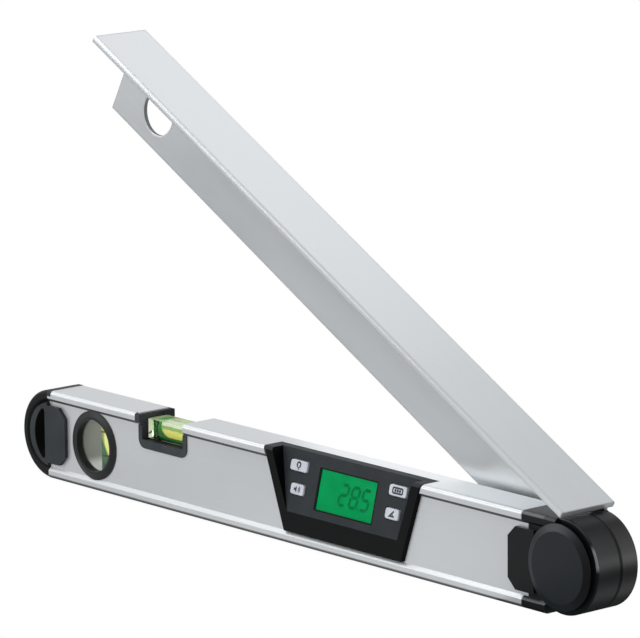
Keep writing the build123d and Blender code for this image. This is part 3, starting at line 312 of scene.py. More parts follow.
def moulded(name, colour, rough, grain=COARSE, level=0.3, edge=0.4 * MM, wear_and_highlight=None, polish=0.0,
            dark=None, highlight=None):
    """Grained plastic, with painted highlights and painted shade: the last two arguments are functions of the
    finish and its coordinates that say where.
    """
    plastic = Finish(name, Specular_IOR_Level=level, Coat_Roughness=0.34)
    spot = plastic.place()
    cloud, speck, shade = mottled(plastic, spot)
    skin = plastic.tint(shade, [c * 0.8 for c in colour], [c * 1.2 for c in colour])
    # Edges painted paler: partly wear, partly a painted highlight.
    if wear_and_highlight:
        flat = plastic.add("ShaderNodeNewGeometry", outlet="Normal")
        soft = plastic.add("ShaderNodeBevel", {"samples": 4}, {"Radius": edge * 1.6})
        alike = plastic.add("ShaderNodeVectorMath", {"operation": "DOT_PRODUCT"}, {0: flat, 1: soft}, "Value")
        edges = plastic.span(1.0 - alike, 0.03, 0.3) * plastic.span(cloud, 0.3, 0.7, 0.5, 1.0)
        skin = plastic.tint(edges, skin, wear_and_highlight)
    # Painted highlights in pale grey.
    if highlight:
        skin = plastic.tint(highlight(plastic, spot), skin, PAINTED_HIGHLIGHT_GREY)
    # Painted dark: mostly painted shade.
    hidden = dark(plastic, spot) if dark else 0.0
    if dark:
        skin = plastic.tint(hidden, skin, SHADOW_BLACK)
    if polish:
        out, front, up = plastic.facing()
        gloss = plastic.span(out, 0.5, 0.95) + plastic.span(up * front * -1.0, 0.16, 0.42)
        gloss = gloss + plastic.span(up, 0.85, 0.97, 0.0, 0.3)
        gloss = gloss * (1.0 - hidden)
        plastic.feed("Coat Weight", gloss * plastic.span(cloud, 0.2, 0.8, polish * 0.85, polish))
    plastic.feed("Base Color", skin)
    plastic.sheen(speck * 0.5 + cloud * 0.5, rough - 0.05, rough + 0.06)
    plastic.relief(speck, grain, 0.4, edge)
    return plastic


dress(moulded("lid_black", (0.02, 0.022, 0.024), 0.48, wear_and_highlight=(0.05, 0.054, 0.058)),
      "battery_tray", "battery_door")
dress(moulded("trim_black", (0.0085, 0.0098, 0.0108), 0.34, FINEST, wear_and_highlight=(0.09, 0.094, 0.098)),
      "plumb_bezel_front", "plumb_bezel_rear", "arm_hub_cover", "push_switches")

# %% [markdown]
# ### The hub
#
# Its two halves turn against each other, and both are painted darker along the seam between them. The
# upper edge of the stub and a stretch of the round rim are painted pale: painted highlights. The nose is
# painted dark on its right side, which is turned to that rim: painted shade.

# %% The hub's halves and its nose
SEAM = 6.62 * MM


def seam_darkening(plastic, spot):
    """Dark on both sides of the seam between the hub's halves."""
    off = plastic.parts(spot)[1] - SEAM
    return plastic.around(off * off, 0.3, 1.5, 0.8, 0.0)


def hub_highlights(plastic, spot):
    """Painted highlights in pale grey: on the stub's upper edge, and on a stretch of the round rim behind the
    nose.
    """
    along, height = plastic.parts(spot)[::2]
    right = along - hinge.x
    above = height - hinge.z
    out, front, up = plastic.facing()
    # Painted highlight along the stub's upper edge.
    edge = plastic.span(up * front * -1.0, 0.2, 0.42)
    edge = edge * plastic.span(right, -12.0 * MM, -10.0 * MM, 0.22, 0.0)
    edge = edge * plastic.span(above, 10.0 * MM, 15.0 * MM)
    # Painted highlight on the round rim behind the nose.
    rim = plastic.span(out * front * -1.0, 0.08, 0.3) * plastic.span(right, 14.0 * MM, 17.0 * MM)
    rim = rim * plastic.span(above, 0.5 * MM, 4.0 * MM)
    return edge + rim * plastic.span(above, 10.5 * MM, 14.5 * MM, 0.55, 0.0)


def nose_shade(plastic, spot):
    """Painted shade on the side of the nose that is turned to the hub's round rim."""
    return plastic.span(plastic.facing()[0], 0.08, 0.26, 0.0, 0.97)


dress(moulded("hub_black", (0.0042, 0.0068, 0.0074), 0.4, FINE, 0.16, wear_and_highlight=(0.05, 0.055, 0.058),
              polish=0.8, dark=seam_darkening, highlight=hub_highlights), "hub_housing")
dress(moulded("arm_hub_black", (0.0085, 0.0085, 0.0105), 0.38, FINE, 0.2, wear_and_highlight=(0.04, 0.041, 0.045),
              polish=1.0, dark=seam_darkening), "arm_hub")
dress(moulded("nose_black", (0.009, 0.0135, 0.0172), 0.42, FINE, 0.24, wear_and_highlight=(0.035, 0.038, 0.041),
              polish=0.8, dark=nose_shade), "hub_nose")

# %% [markdown]
# ### The end cap and the saddle of the level vial
#
# Both are greyer than the hub. The cap is painted dark around its raised face and in its slot, and the
# saddle is painted dark on the upright end behind the vial and on what looks up, such as its floor:
# painted shade, where little light comes.

# %% Cap and saddle
CAP_CENTRE = 1.7 * MM


def corners(node):
    """The lowest and the highest corner of the box around a CAD node."""
    return [Vector(corner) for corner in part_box(node)]


def cap_shade(plastic, spot):
    """Painted shade on the cap's outer rim, around its raised face, and on the walls of its slot."""
    low, high = corners("base_profile")
    along, height = plastic.parts(spot)[::2]
    front = plastic.facing()[1]
    side = along - (low.x + CAP_CENTRE)
    rise = height - (low.z + high.z) / 2
    reach = side * side + rise * rise
    beyond = plastic.span(along, low.x - 0.4 * MM, low.x, 1.0, 0.0)
    slot = plastic.span(front * front, 0.2, 0.6, 0.95, 0.0)
    slot = slot * plastic.around(reach, 17.5, 18.5, 1.0, 0.0)
    return (plastic.around(reach, 17.2, 17.9, 0.0, 0.85) + slot) * beyond


def saddle_shade(plastic, spot):
    """Painted shade on the upright ends of the notch behind the vial, and on what looks up."""
    across, up = plastic.facing()[::2]
    rear = plastic.span(plastic.parts(spot)[1], -2.0 * MM, 4.0 * MM)
    return plastic.span(across, 0.5, 0.8, 0.0, 0.6) * rear + plastic.span(up, 0.7, 0.9, 0.0, 0.7)


cap_black = moulded("cap_black", (0.032, 0.038, 0.042), 0.46, level=0.14,
                    wear_and_highlight=(0.05, 0.054, 0.058), dark=cap_shade)
dress(cap_black, "end_cap")
dress(moulded("saddle_black", (0.046, 0.052, 0.058), 0.5, FINE, 0.1, wear_and_highlight=(0.045, 0.048, 0.052),
              dark=saddle_shade), "level_saddle")

# %% [markdown]
# ### The display housing
#
# One moulding with three skins: its upright faces are nearly black, and the faces that lean back are
# etched to a duller, greyer black, so that the display is easy to read. Faces that look to the right,
# such as the ends of the recess, are painted the blackest: painted shade. The direction that a face looks
# in tells them apart.

# %% The skins of the display housing
house = Finish("display_black", Specular_IOR_Level=0.07)
speck, shade = mottled(house, house.place())[1:]
across, up = house.facing()[::2]
etched = house.span(up, 0.08, 0.2)
upright = house.tint(shade, (0.0032, 0.0042, 0.0044), (0.005, 0.006, 0.0063))
leaning = house.tint(shade, (0.030, 0.035, 0.0385), (0.039, 0.0445, 0.049))
# Painted shade: faces that look to the right are painted the blackest.
right_facing_shade = house.span(across, 0.4, 0.8)
skin = house.tint(etched, upright, leaning)
house.paint(right_facing_shade, skin, (0.0015, 0.0018, 0.002))
house.feed("Roughness", house.span(speck, 0.3, 0.7, 0.38, 0.48) + etched * 0.1)
house.relief(speck, COARSE, 0.4, 0.4 * MM)
dress(house, "display_housing")

# %% [markdown]
# ## Pieces that are built here
#
# Everything that is drawn below becomes a mesh in the same way: a function fills an empty bmesh, the
# mesh gets its finish, and the piece is told which body of the model it moves with. Most shapes are rows
# of points with faces between them, and most rows are arcs.


# %% Helpers for new pieces
def make(name, build, finish, body, slot, *stands_for):
    """A new piece: build(shape) fills its mesh, and it rides on a body."""
    shape = bmesh.new()
    build(shape)
    bmesh.ops.recalc_face_normals(shape, faces=shape.faces)
    mesh = bpy.data.meshes.new(name)
    shape.to_mesh(mesh)
    shape.free()
    mesh.materials.append(finish.material)
    piece = bpy.data.objects.new(name, mesh)
    bpy.context.scene.collection.objects.link(piece)
    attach(piece, body)
    if stands_for:
        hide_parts(*stands_for)
    print(name, len(mesh.polygons), "faces")
    return piece


def stitch(shape, rows, around=False, closed=True):
    """Faces between neighbouring rows of points; around joins the last row to the first."""
    for first, second in zip(rows, rows[1:] + rows[:1] if around else rows[1:]):
        for k in range(len(first) if closed else len(first) - 1):
            j = (k + 1) % len(first)
            shape.faces.new((first[k], first[j], second[j], second[k]))


def arc(x, y, radius, start, stop, steps=10):
    """Points on an arc, from one angle to another in degrees."""
    angles = [math.radians(start + (stop - start) * i / steps) for i in range(steps + 1)]
    return [(x + radius * math.cos(a), y + radius * math.sin(a)) for a in angles]


# %% [markdown]
# ### The collar of the end cap
#
# A thin lip of the cap reaches over the end of the level, around the rounded edges of its top. It is only
# two tenths of a millimetre thick, so that the folded arm clears it, and is drawn here: the outline of
# the top, a little larger, drawn along the level for a few millimetres.

# %% Cap collar
COLLAR_START, COLLAR_STOP = -0.1, 2.8
COLLAR_INNER, COLLAR_OUTER = 0.02, 0.22
LIP_Y, LIP_Z, LIP_RADIUS = 9.55, 46.4, 2.2
LIP_TURN = 145.0


def collar(shape):
    """The top's outline, drawn along the level, in millimetres."""
    end = corners("base_profile")[0].x
    rails = []
    for x, gap in ((COLLAR_START, COLLAR_INNER), (COLLAR_START, COLLAR_OUTER),
                   (COLLAR_STOP, COLLAR_OUTER), (COLLAR_STOP, COLLAR_INNER)):
        front = arc(-LIP_Y, LIP_Z, LIP_RADIUS + gap, 90.0 + LIP_TURN, 90.0, 14)
        rear = arc(LIP_Y, LIP_Z, LIP_RADIUS + gap, 90.0, 90.0 - LIP_TURN, 14)
        rails.append([shape.verts.new((end + x * MM, y * MM, z * MM)) for y, z in front + rear])
    stitch(shape, rails, around=True, closed=False)
    for tip in (0, -1):
        shape.faces.new([rail[tip] for rail in rails])


make("cap_collar", collar, cap_black, "level", "black_housing")

# %% [markdown]
# ## Where the display panel is
#
# The panel leans back, so its keys, its window and its digits need axes of their own. The model says
# which way a key is pressed, and the panel looks the other way. The face of any piece on it is then
# found from the points of that piece that lie farthest out.

# %% Axes of the panel
panel_out = -Vector(joints["button_light_press"]["axis"]).normalized()
panel_across = Vector((1.0, 0.0, 0.0))
panel_up = panel_out.cross(panel_across)


def panel_face(node):
    """Middle of a node's outermost face along the panel, and its width and height."""
    points = [vertex.co for vertex in frame["nodes"][node].data.vertices]
    reach = max(point.dot(panel_out) for point in points)
    outer = [point for point in points if point.dot(panel_out) > reach - 0.01 * MM]
    across, up = [sorted(point.dot(axis) for point in outer) for axis in (panel_across, panel_up)]
    middle = panel_across * (across[0] + across[-1]) / 2 + panel_up * (up[0] + up[-1]) / 2
    return middle + panel_out * reach, across[-1] - across[0], up[-1] - up[0]


print("the panel looks along", [round(c, 3) for c in panel_out])

# %% [markdown]
# ### Flat signs on the panel
#
# What is printed or laid on the panel is a very thin slab: a flat outline in millimetres, given a
# thickness, or a ribbon along a line.

# %% Slabs and ribbons
PRINT_THICK = 0.03


def on_panel(middle, lift):
    """Turns millimetres on the panel, and a height over it, into a place."""
    return lambda x, y, z: middle + (panel_across * x + panel_up * y + panel_out * (lift + z)) * MM


def slab(shape, outline, spot, thick=PRINT_THICK):
    """A flat outline, given a thickness."""
    low = [shape.verts.new(spot(x, y, 0.0)) for x, y in outline]
    high = [shape.verts.new(spot(x, y, thick)) for x, y in outline]
    shape.faces.new(low)
    shape.faces.new(high)
    stitch(shape, [low, high])


def ribbon(shape, line, width, spot, closed=False):
    """A flat band along a line, mitred at its corners."""
    count = len(line)
    rails = []
    for i in range(count):
        here = Vector(line[i])
        before = Vector(line[i - 1]) if closed or i else here
        after = Vector(line[(i + 1) % count]) if closed or i < count - 1 else here
        along = ((here - before).normalized() + (after - here).normalized()).normalized()
        step = (after - here if after != here else here - before).normalized()
        mitre = Vector((-along.y, along.x)) * (width / 2 / max(0.35, along.dot(step)))
        rails.append([shape.verts.new(spot(*(here + mitre * side), height))
                      for side, height in ((-1, 0.0), (1, 0.0), (1, PRINT_THICK), (-1, PRINT_THICK))])
    stitch(shape, rails, around=closed)
    if not closed:
        shape.faces.new(rails[0])
        shape.faces.new(rails[-1])


print("up on the panel is", [round(c, 3) for c in panel_up])

# %% [markdown]
# ## Keys and their signs
#
# The four keys are pale, faintly lilac plastic with a satin skin. Each has a printed sign: a lamp for
# the light, a loudspeaker for the beeper, a framed row of dots for a reading that is held, and an open
# angle for the mode. Print has hardly any thickness, so each sign is a slab of a few hundredths of a
# millimetre that moves with its key.

# %% Key plastic and print
key_print = moulded("key_print", (0.045, 0.05, 0.065), 0.5, FINEST, 0.2, 0.0)
PRINT_LIFT = 0.005
LINE, THIN_LINE = 0.95, 0.6


def lamp_sign(shape, spot):
    glass = arc(0.0, 0.5, 1.3, -62.0, 242.0, 16)
    ribbon(shape, glass, LINE, spot)
    for y, half in ((-1.05, 0.75), (-1.8, 0.5)):
        ribbon(shape, [(-half, y), (half, y)], 0.55, spot)


def speaker_sign(shape, spot):
    horn = [(-2.3, -0.65), (-1.3, -0.65), (-0.2, -1.7), (-0.2, 1.7), (-1.3, 0.65), (-2.3, 0.65)]
    slab(shape, horn, spot)
    for radius in (1.0, 2.0):
        ribbon(shape, arc(0.2, 0.0, radius, -48.0, 48.0), THIN_LINE, spot)


def hold_sign(shape, spot):
    half, high, corner = 3.6, 1.35, 0.7
    frame_line = []
    for x, y, start in ((1, 1, 0.0), (-1, 1, 90.0), (-1, -1, 180.0), (1, -1, 270.0)):
        frame_line += arc(x * (half - corner), y * (high - corner), corner, start, start + 90.0, 4)
    ribbon(shape, frame_line, LINE, spot, closed=True)
    for x in (-1.7, 0.0, 1.7):
        slab(shape, arc(x, 0.0, 0.78, 0.0, 337.5, 15), spot)


def angle_sign(shape, spot):
    ribbon(shape, [(1.3, 1.5), (-1.5, -1.2), (1.9, -1.2)], 0.9, spot)
    ribbon(shape, arc(-1.5, -1.2, 2.2, 6.0, 38.0), 0.7, spot)


signs = {"button_light": lamp_sign, "button_sound": speaker_sign,
         "button_hold": hold_sign, "button_mode": angle_sign}
dress(moulded("key_plastic", (0.57, 0.605, 0.67), 0.38, FINEST, 0.45, 0.3 * MM), *signs)
for key, draw in signs.items():
    spot = on_panel(panel_face(key)[0], PRINT_LIFT)
    make(key + "_sign", lambda shape: draw(shape, spot), key_print, key, "key_grey")

# %% [markdown]
# ## The display
#
# A liquid crystal glass, lit green from behind, under a thin clear pane. The digits are
# slanted bars that darken the green. The green is a little cloudy, as the guide behind it spreads the
# light. It glows a little, so part of it is emission.

# %% Glass, pane and light guide
lcd = Finish("lcd_green", Specular_IOR_Level=0.02, Emission_Strength=0.66)
spot = lcd.place()
cells = lcd.noise(spot, 4200.0, 1.0)
cloud = lcd.noise(spot, 60.0)
glow = lcd.span(cells * 0.3 + cloud * 0.7, 0.35, 0.65)
lcd.paint(glow, (0.0, 0.13, 0.037), (0.001, 0.16, 0.047))
lcd.feed("Emission Color", lcd.tint(glow, (0.0, 0.25, 0.066), (0.001, 0.29, 0.08)))
lcd.sheen(cells, 0.32, 0.42)
dress(lcd, "lcd_glass")


def clear(name, colour, alpha, level):
    """Thin clear plastic: mostly see-through, with a faint skin of dust."""
    pane = Finish(name, Specular_IOR_Level=level)
    dust = pane.noise(pane.place(), 900.0, 3.0, 0.6)
    pane.paint(dust, [c * 0.92 for c in colour], colour)
    pane.feed("Alpha", pane.span(dust, 0.3, 0.75, alpha, alpha * 1.5))
    pane.sheen(dust, 0.08, 0.14)
    return pane


dress(clear("display_pane", (0.0, 0.05, 0.03), 0.02, 0.12), "display_window")
dress(clear("plumb_glass", (0.35, 0.36, 0.35), 0.09, 0.25), "plumb_lens_front", "plumb_lens_rear")
dress(moulded("light_guide", (0.7, 0.95, 0.78), 0.3, FINEST, 0.5), "backlight")

# %% [markdown]
# ### The reading
#
# It gives the angle at which the arm stands: three digits of seven bars each, with pointed ends, leaning
# to the right, and a round point before the last one. A font would be one more file to read, so each bar
# is worked out from the digit's size, and is a thin slab on the glass.

# %% Digits
lcd_print = moulded("lcd_digits", (0.001, 0.185, 0.055), 0.4, FINEST, 0.02, 0.0)
DIGIT_HIGH = 10.4
DIGIT_WIDE = 5.3
DIGIT_PITCH = 8.3
DIGIT_BAR = 1.75
DIGIT_SLANT = math.tan(math.radians(9.0))
DIGIT_LIFT = 0.01
DIGIT_THICK = 0.02
BAR_GAP = 0.18
READING_MIDDLE = 5.8
POINT_X, POINT_Y, POINT_RADIUS = 9.3, 0.1 - DIGIT_HIGH / 2, 0.7
bars = {
    "top": ((0, 2), (1, 2)), "upper_right": ((1, 2), (1, 1)), "lower_right": ((1, 1), (1, 0)),
    "bottom": ((0, 0), (1, 0)), "lower_left": ((0, 1), (0, 0)), "upper_left": ((0, 2), (0, 1)),
    "middle": ((0, 1), (1, 1)),
}
unlit = {"2": ("upper_left", "lower_right"), "8": (), "5": ("upper_right", "lower_left")}


def digit(shape, sign, centre, spot):
    """One sign of seven bars with pointed ends, leaning to the right."""
    for name, ends in bars.items():
        if name in unlit[sign]:
            continue
        start, stop = [Vector(((x - 0.5) * DIGIT_WIDE, (y / 2 - 0.5) * DIGIT_HIGH)) for x, y in ends]
        along = (stop - start).normalized() * DIGIT_BAR / 2
        aside = Vector((-along.y, along.x))
        start, stop = start + along * BAR_GAP, stop - along * BAR_GAP
        outline = (start, start + along + aside, stop - along + aside,
                   stop, stop - along - aside, start + along - aside)
        leaning = [(centre + p.x + p.y * DIGIT_SLANT, p.y) for p in outline]
        slab(shape, leaning, spot, DIGIT_THICK)


def reading(shape):
    spot = on_panel(panel_face("lcd_glass")[0], DIGIT_LIFT)
    for i, sign in enumerate("285"):
        digit(shape, sign, READING_MIDDLE + (i - 1) * DIGIT_PITCH, spot)
    slab(shape, arc(POINT_X, POINT_Y, POINT_RADIUS, 0.0, 337.5, 15), spot, DIGIT_THICK)


make("lcd_reading", reading, lcd_print, "level", "lcd_green")

# %% [markdown]
# ### The shadow around the window
#
# The pane lies a little below the panel, and the step around it is in shadow: a thin dark line, widest on
# the left. That shadow is painted: a narrow dark ribbon, laid around the opening.

# %% Window rim
# Painted shadow: a dark ribbon around the window stands for the shade of the step.
window_shadow = moulded("window_shadow", (0.004, 0.0045, 0.0048), 0.5, FINEST, 0.08, 0.0)
RIM_LIFT = 0.11
RIM_WIDE = 0.7
LEFT_WIDE = 0.6


def window_rim(shape):
    middle, wide, high = panel_face("display_window")
    spot = on_panel(middle, RIM_LIFT)
    half, rise = [(size / MM + RIM_WIDE) / 2 for size in (wide, high)]
    outline = [(half, rise), (-half, rise), (-half, -rise), (half, -rise)]
    ribbon(shape, outline, RIM_WIDE, spot, closed=True)
    left, tall = -half - LEFT_WIDE, rise + RIM_WIDE / 2
    ribbon(shape, [(left, tall), (left, -tall)], LEFT_WIDE, spot)


make("display_rim", window_rim, window_shadow, "level", "black_housing")

# %% [markdown]
# ## The vials
#
# In the solid model the vials are hollow shells, so that the bubbles have room to run. Seen from
# outside, though, acrylic, liquid and bubble are one clear body: light bends once where it enters the
# acrylic and hardly again inside. So each vial is drawn again as it looks: a solid clear block or tube,
# a tinted core of liquid that hardly bends light, and the bubble as the pale pocket under the top of the
# bore. The dyed liquid is painted lighter where light falls and darker in shade, and glows a little: painted
# light.

# %% Acrylic and liquid
acrylic = Finish("acrylic", Transmission_Weight=1.0, IOR=1.49, Specular_IOR_Level=0.5)
haze = acrylic.noise(acrylic.place(), 90.0)
acrylic.paint(haze, (0.76, 0.84, 0.58), (0.86, 0.91, 0.70))
acrylic.sheen(haze, 0.012, 0.03)
UNLIT_SIDE = (-0.652, -0.758)


def dyed(name, dark, light, glow, strength, deep):
    """Clear dyed liquid, painted paler where deep(liquid, spot) is low and darker where it is high: painted
    light and shade, with a painted glow.
    """
    liquid = Finish(name, Transmission_Weight=0.3, IOR=1.02, Emission_Strength=strength)
    spot = liquid.place()
    swirl = liquid.noise(spot, 220.0)
    # Painted light and shade: paler where the mask is low, darker where it is high; the emission is a painted
    # glow.
    shade = deep(liquid, spot) + swirl * 0.1 - 0.05
    liquid.paint(shade, light, dark)
    liquid.feed("Emission Color", liquid.tint(shade, glow, [c * 0.5 for c in dark]))
    liquid.sheen(swirl, 0.05, 0.12)
    return liquid


def shaded_below(liquid, spot):
    """Painted shade on the level vial: deeper green where its surface looks down."""
    return liquid.span(liquid.facing()[2], -0.4, 0.9, 1.0, 0.0)


def shaded_foot_and_side(liquid, spot):
    """Painted shade on the upright vial: deep green at its foot, and on the side that the window doesn't
    light.
    """
    across, front = liquid.facing()[:2]
    away = across * UNLIT_SIDE[0] + front * UNLIT_SIDE[1]
    height = liquid.parts(spot)[2] - away * (10.0 * MM)
    foot = liquid.span(height, 15.4 * MM, 18.4 * MM, 1.0, 0.0)
    return foot + (1.0 - foot) * liquid.span(away, 0.55, 0.85, 0.0, 0.75)


level_dye = dyed("level_liquid", (0.002, 0.21, 0.01), (0.06, 0.42, 0.03), (0.004, 0.30, 0.012),
                 0.35, shaded_below)
plumb_dye = dyed("plumb_liquid", (0.001, 0.11, 0.03), (0.95, 0.92, 0.42), (0.85, 0.84, 0.34),
                 0.62, shaded_foot_and_side)
print("liquids:", level_dye.material.name, plumb_dye.material.name)

# %% [markdown]
# ### Air
#
# A bubble mirrors the white room at its top and the dyed liquid at its sides, so it is painted pale above,
# green around its middle and yellow below: a painted reflection. It is drawn as a body of those colours
# that glows a little: painted light.

# %% Air
air = Finish("bubble_air", Emission_Strength=0.42, Specular_IOR_Level=0.5)
film = air.noise(air.place(), 260.0)
# Painted reflection, by the way the surface looks: pale on top, green around the middle, yellow below.
height = air.facing()[2] + film * 0.2 - 0.1
lower = air.tint(air.span(height, 0.12, 0.32), (0.90, 0.86, 0.20), (0.34, 0.50, 0.14))
pale = air.tint(air.span(height, 0.55, 0.68), lower, (0.80, 0.88, 0.80))
air.feed("Base Color", pale)
air.feed("Emission Color", pale)
air.sheen(film, 0.08, 0.16)
print("air:", len(air.tree.nodes), "shader nodes")

# %% [markdown]
# ### Round bars and soft boxes
#
# The liquid, the tube and the upright bubble are round bars with softened ends, and the block of the
# level vial is a box with rounded edges. A bar is a row of rings with faces between them.

# %% Shapes of the vials
ROUND = 40
END_STEPS = 8


def circle(radius):
    """Points all around a circle."""
    return arc(0.0, 0.0, radius, 0.0, 360.0 * (ROUND - 1) / ROUND, ROUND - 1)


def loft(shape, rings):
    """Faces between rings of equal count, closed at both ends."""
    stitch(shape, rings)
    shape.faces.new(rings[0])
    shape.faces.new(rings[-1])


def tube(shape, start, stop, radius, soft):
    """A round bar with softened ends."""
    axis = (stop - start).normalized()
    side = axis.orthogonal().normalized()
    up = axis.cross(side)
    turns = [math.pi / 2 * k / END_STEPS for k in range(END_STEPS + 1)]
    steps = [(soft * (1 - math.cos(a)), radius - soft * (1 - math.sin(a))) for a in turns]
    rings = []
    for middle, sign, ends in ((start, 1.0, steps), (stop, -1.0, steps[::-1])):
        for along, reach in ends:
            centre = middle + axis * along * sign
            rings.append([shape.verts.new(centre + side * a + up * b) for a, b in circle(reach)])
    loft(shape, rings)


def soft_box(shape, low, high, soft):
    """A box with rounded edges."""
    placed = Matrix.LocRotScale((low + high) / 2, None, high - low)
    bmesh.ops.create_cube(shape, size=1.0, matrix=placed)
    bmesh.ops.bevel(shape, geom=shape.edges[:], offset=soft, segments=3, profile=0.5, affect="EDGES")


def smooth_shade(*pieces):
    """Smooth shading, but for the flat ends."""
    for piece in pieces:
        for face in piece.data.polygons:
            face.use_smooth = len(face.vertices) < 5


print("round bars have", ROUND, "sides")

# %% [markdown]
# ### The level vial
#
# A block with a bore along it. The bubble lies against the top of the bore: it is flat below, and the
# flat rises to the top at both ends, slowly at the left and quickly at the right.

# %% Block, liquid and bubble
block_low, block_high = corners("level_vial_block")
liquid_low, liquid_high = corners("level_vial_fluid")
bubble_low, bubble_high = corners("level_bubble")
vial_axis = (liquid_low + liquid_high) / 2
bore = (liquid_high.z - liquid_low.z) / 2
LIQUID_GAP = 0.06 * MM
LIQUID_SOFT = 0.3 * MM
AIR_GAP = 0.04 * MM
AIR_LONGER = 0.5 * MM
AIR_FLAT, AIR_TIP = -0.6, 0.93
LEFT_RISE, RIGHT_RISE = 7.0 * MM, 2.5 * MM


def along_level(x):
    return Vector((x, vial_axis.y, vial_axis.z))


def air_pocket(shape):
    """Air against the top of the bore."""
    rings = []
    radius = bore - AIR_GAP
    turns = [math.pi / 2 * k / 10 for k in range(11)]
    start = (bubble_low.x - AIR_LONGER, 1.0, LEFT_RISE, turns)
    stop = (bubble_high.x + AIR_LONGER, -1.0, RIGHT_RISE, turns[::-1])
    for end, sign, rise, order in (start, stop):
        for turn in order:
            middle = along_level(end + sign * rise * (1 - math.cos(turn)))
            level = AIR_TIP - (AIR_TIP - AIR_FLAT) * math.sin(turn)
            open_at = math.degrees(math.asin(level))
            ring = arc(0.0, 0.0, radius, open_at, 180.0 - open_at, 28)
            half = radius * math.cos(math.radians(open_at))
            ring += [(half * (k / 4 - 1), radius * level) for k in range(1, 8)]
            rings.append([shape.verts.new(middle + Vector((0.0, a, b))) for a, b in ring])
    loft(shape, rings)


def level_core(shape):
    tube(shape, along_level(liquid_low.x), along_level(liquid_high.x), bore - LIQUID_GAP, LIQUID_SOFT)


block = make("level_block", lambda shape: soft_box(shape, block_low, block_high, 0.5 * MM), acrylic,
             "level", "clear_acrylic", "level_vial_block")
core = make("level_liquid", level_core, level_dye, "level", "vial_liquid", "level_vial_fluid")
pocket = make("level_air", air_pocket, air, "level_bubble", "vial_air", "level_bubble")
smooth_shade(block, core, pocket)

# %% [markdown]
# ### The block's top and its underside
#
# The underside is bonded to the black saddle. The top is frosted, and painted pale over the bubble and
# green at each end of the bubble, where the liquid would show through: painted, not seen through.

# %% Frosted top
bonded = moulded("bonded_black", (0.01, 0.011, 0.01), 0.6, FINEST, 0.05, 0.0)
frosted = Finish("block_top", Specular_IOR_Level=0.4)
spot = frosted.place()
haze = frosted.noise(spot, 140.0)
along, depth = frosted.parts(spot)[:2]
side = along - vial_axis.x
off = side * side
# Painted green patches, where the liquid would show through the frosted top.
green = frosted.around(off, 7.5, 9.5, 0.0, 1.0) * frosted.around(off, 13.2, 14.6, 1.0, 0.0)
green = green * frosted.around(depth * depth, 2.5, 4.8, 1.0, 0.0)
shade = green + haze * 0.3 - 0.15
frosted.paint(shade, (0.46, 0.54, 0.29), (0.07, 0.38, 0.07))
frosted.feed("Alpha", frosted.span(haze, 0.3, 0.7, 0.62, 0.8))
frosted.sheen(haze, 0.2, 0.32)
for skin in (bonded, frosted):
    block.data.materials.append(skin.material)
for face in block.data.polygons:
    face.material_index = 1 if face.normal.z < -0.7 else 2 if face.normal.z > 0.7 else 0
print("block:", [slot.name for slot in block.data.materials])

# %% [markdown]
# ### The marks on the level vial
#
# Two black bands show where the bubble has to stand. On the vial they are lines of paint around the bore,
# so each is drawn as a short sleeve on the liquid.

# %% Level marks
ink = moulded("ring_ink", (0.002, 0.0025, 0.002), 0.45, FINEST, 0.05, 0.0)
mark_low, mark_high = corners("level_vial_rings")
MARK_WIDE = 1.3 * MM
MARK_THICK = 0.2 * MM
MARK_SHIFT = 1.1 * MM


def level_marks(shape):
    """Two short sleeves around the level vial's axis."""
    outer = bore + MARK_THICK
    for x in (mark_low.x - MARK_SHIFT, mark_high.x + MARK_SHIFT):
        rings = []
        for side, reach in ((-1, bore), (-1, outer), (1, outer), (1, bore)):
            centre = along_level(x + side * MARK_WIDE / 2)
            rings.append([shape.verts.new(centre + Vector((0.0, a, b))) for a, b in circle(reach)])
        stitch(shape, rings, around=True)


make("level_marks", level_marks, ink, "level", "ring_ink", "level_vial_rings")

# %% [markdown]
# ### The upright vial
#
# A round tube, full of liquid, with its bubble at the top. All three are bars around one upright axis, so
# one function that takes heights and a radius makes them.

# %% Tube, liquid and bubble
tube_low, tube_high = corners("plumb_vial_tube")
dye_low, dye_high = corners("plumb_vial_fluid")
float_low, float_high = corners("plumb_bubble")
plumb_axis = (tube_low + tube_high) / 2
plumb_radius = (tube_high.x - tube_low.x) / 2
plumb_bore = (dye_high.x - dye_low.x) / 2


def upright_bar(low, high, radius, soft):
    """Builds a bar around the upright vial's axis, between two heights."""
    start, stop = [Vector((plumb_axis.x, plumb_axis.y, z)) for z in (low, high)]
    return lambda shape: tube(shape, start, stop, radius, soft)


glass = make("plumb_tube", upright_bar(tube_low.z, tube_high.z, plumb_radius - 0.04 * MM, 0.6 * MM),
             acrylic, "level", "clear_acrylic", "plumb_vial_tube")
core = make("plumb_liquid", upright_bar(dye_low.z, dye_high.z, plumb_bore - LIQUID_GAP, LIQUID_SOFT),
            plumb_dye, "level", "vial_liquid", "plumb_vial_fluid")
pocket = make("plumb_air", upright_bar(float_low.z, float_high.z, plumb_bore - AIR_GAP, 1.8 * MM),
              air, "plumb_bubble", "vial_air", "plumb_bubble")
smooth_shade(glass, core, pocket)
dress(ink, "plumb_vial_rings")
dress(moulded("stopper_green", (0.10, 0.22, 0.06), 0.45), "vial_plugs")

# %% [markdown]
# ### The sleeve around it
#
# The upright vial hangs in a grey sleeve between the two windows. What looks up in it, its floor among
# them, is painted nearly white and glows a little: painted light, for the light that falls in from above.

# %% Sleeve
PAINTED_LIGHT_WHITE = (0.85, 0.87, 0.87)
sleeve = Finish("sleeve_grey", Specular_IOR_Level=0.3, Emission_Strength=0.2)
grit = sleeve.noise(sleeve.place(), 90.0, 3.0)
wall = sleeve.tint(grit, (0.31, 0.33, 0.31), (0.41, 0.43, 0.41))
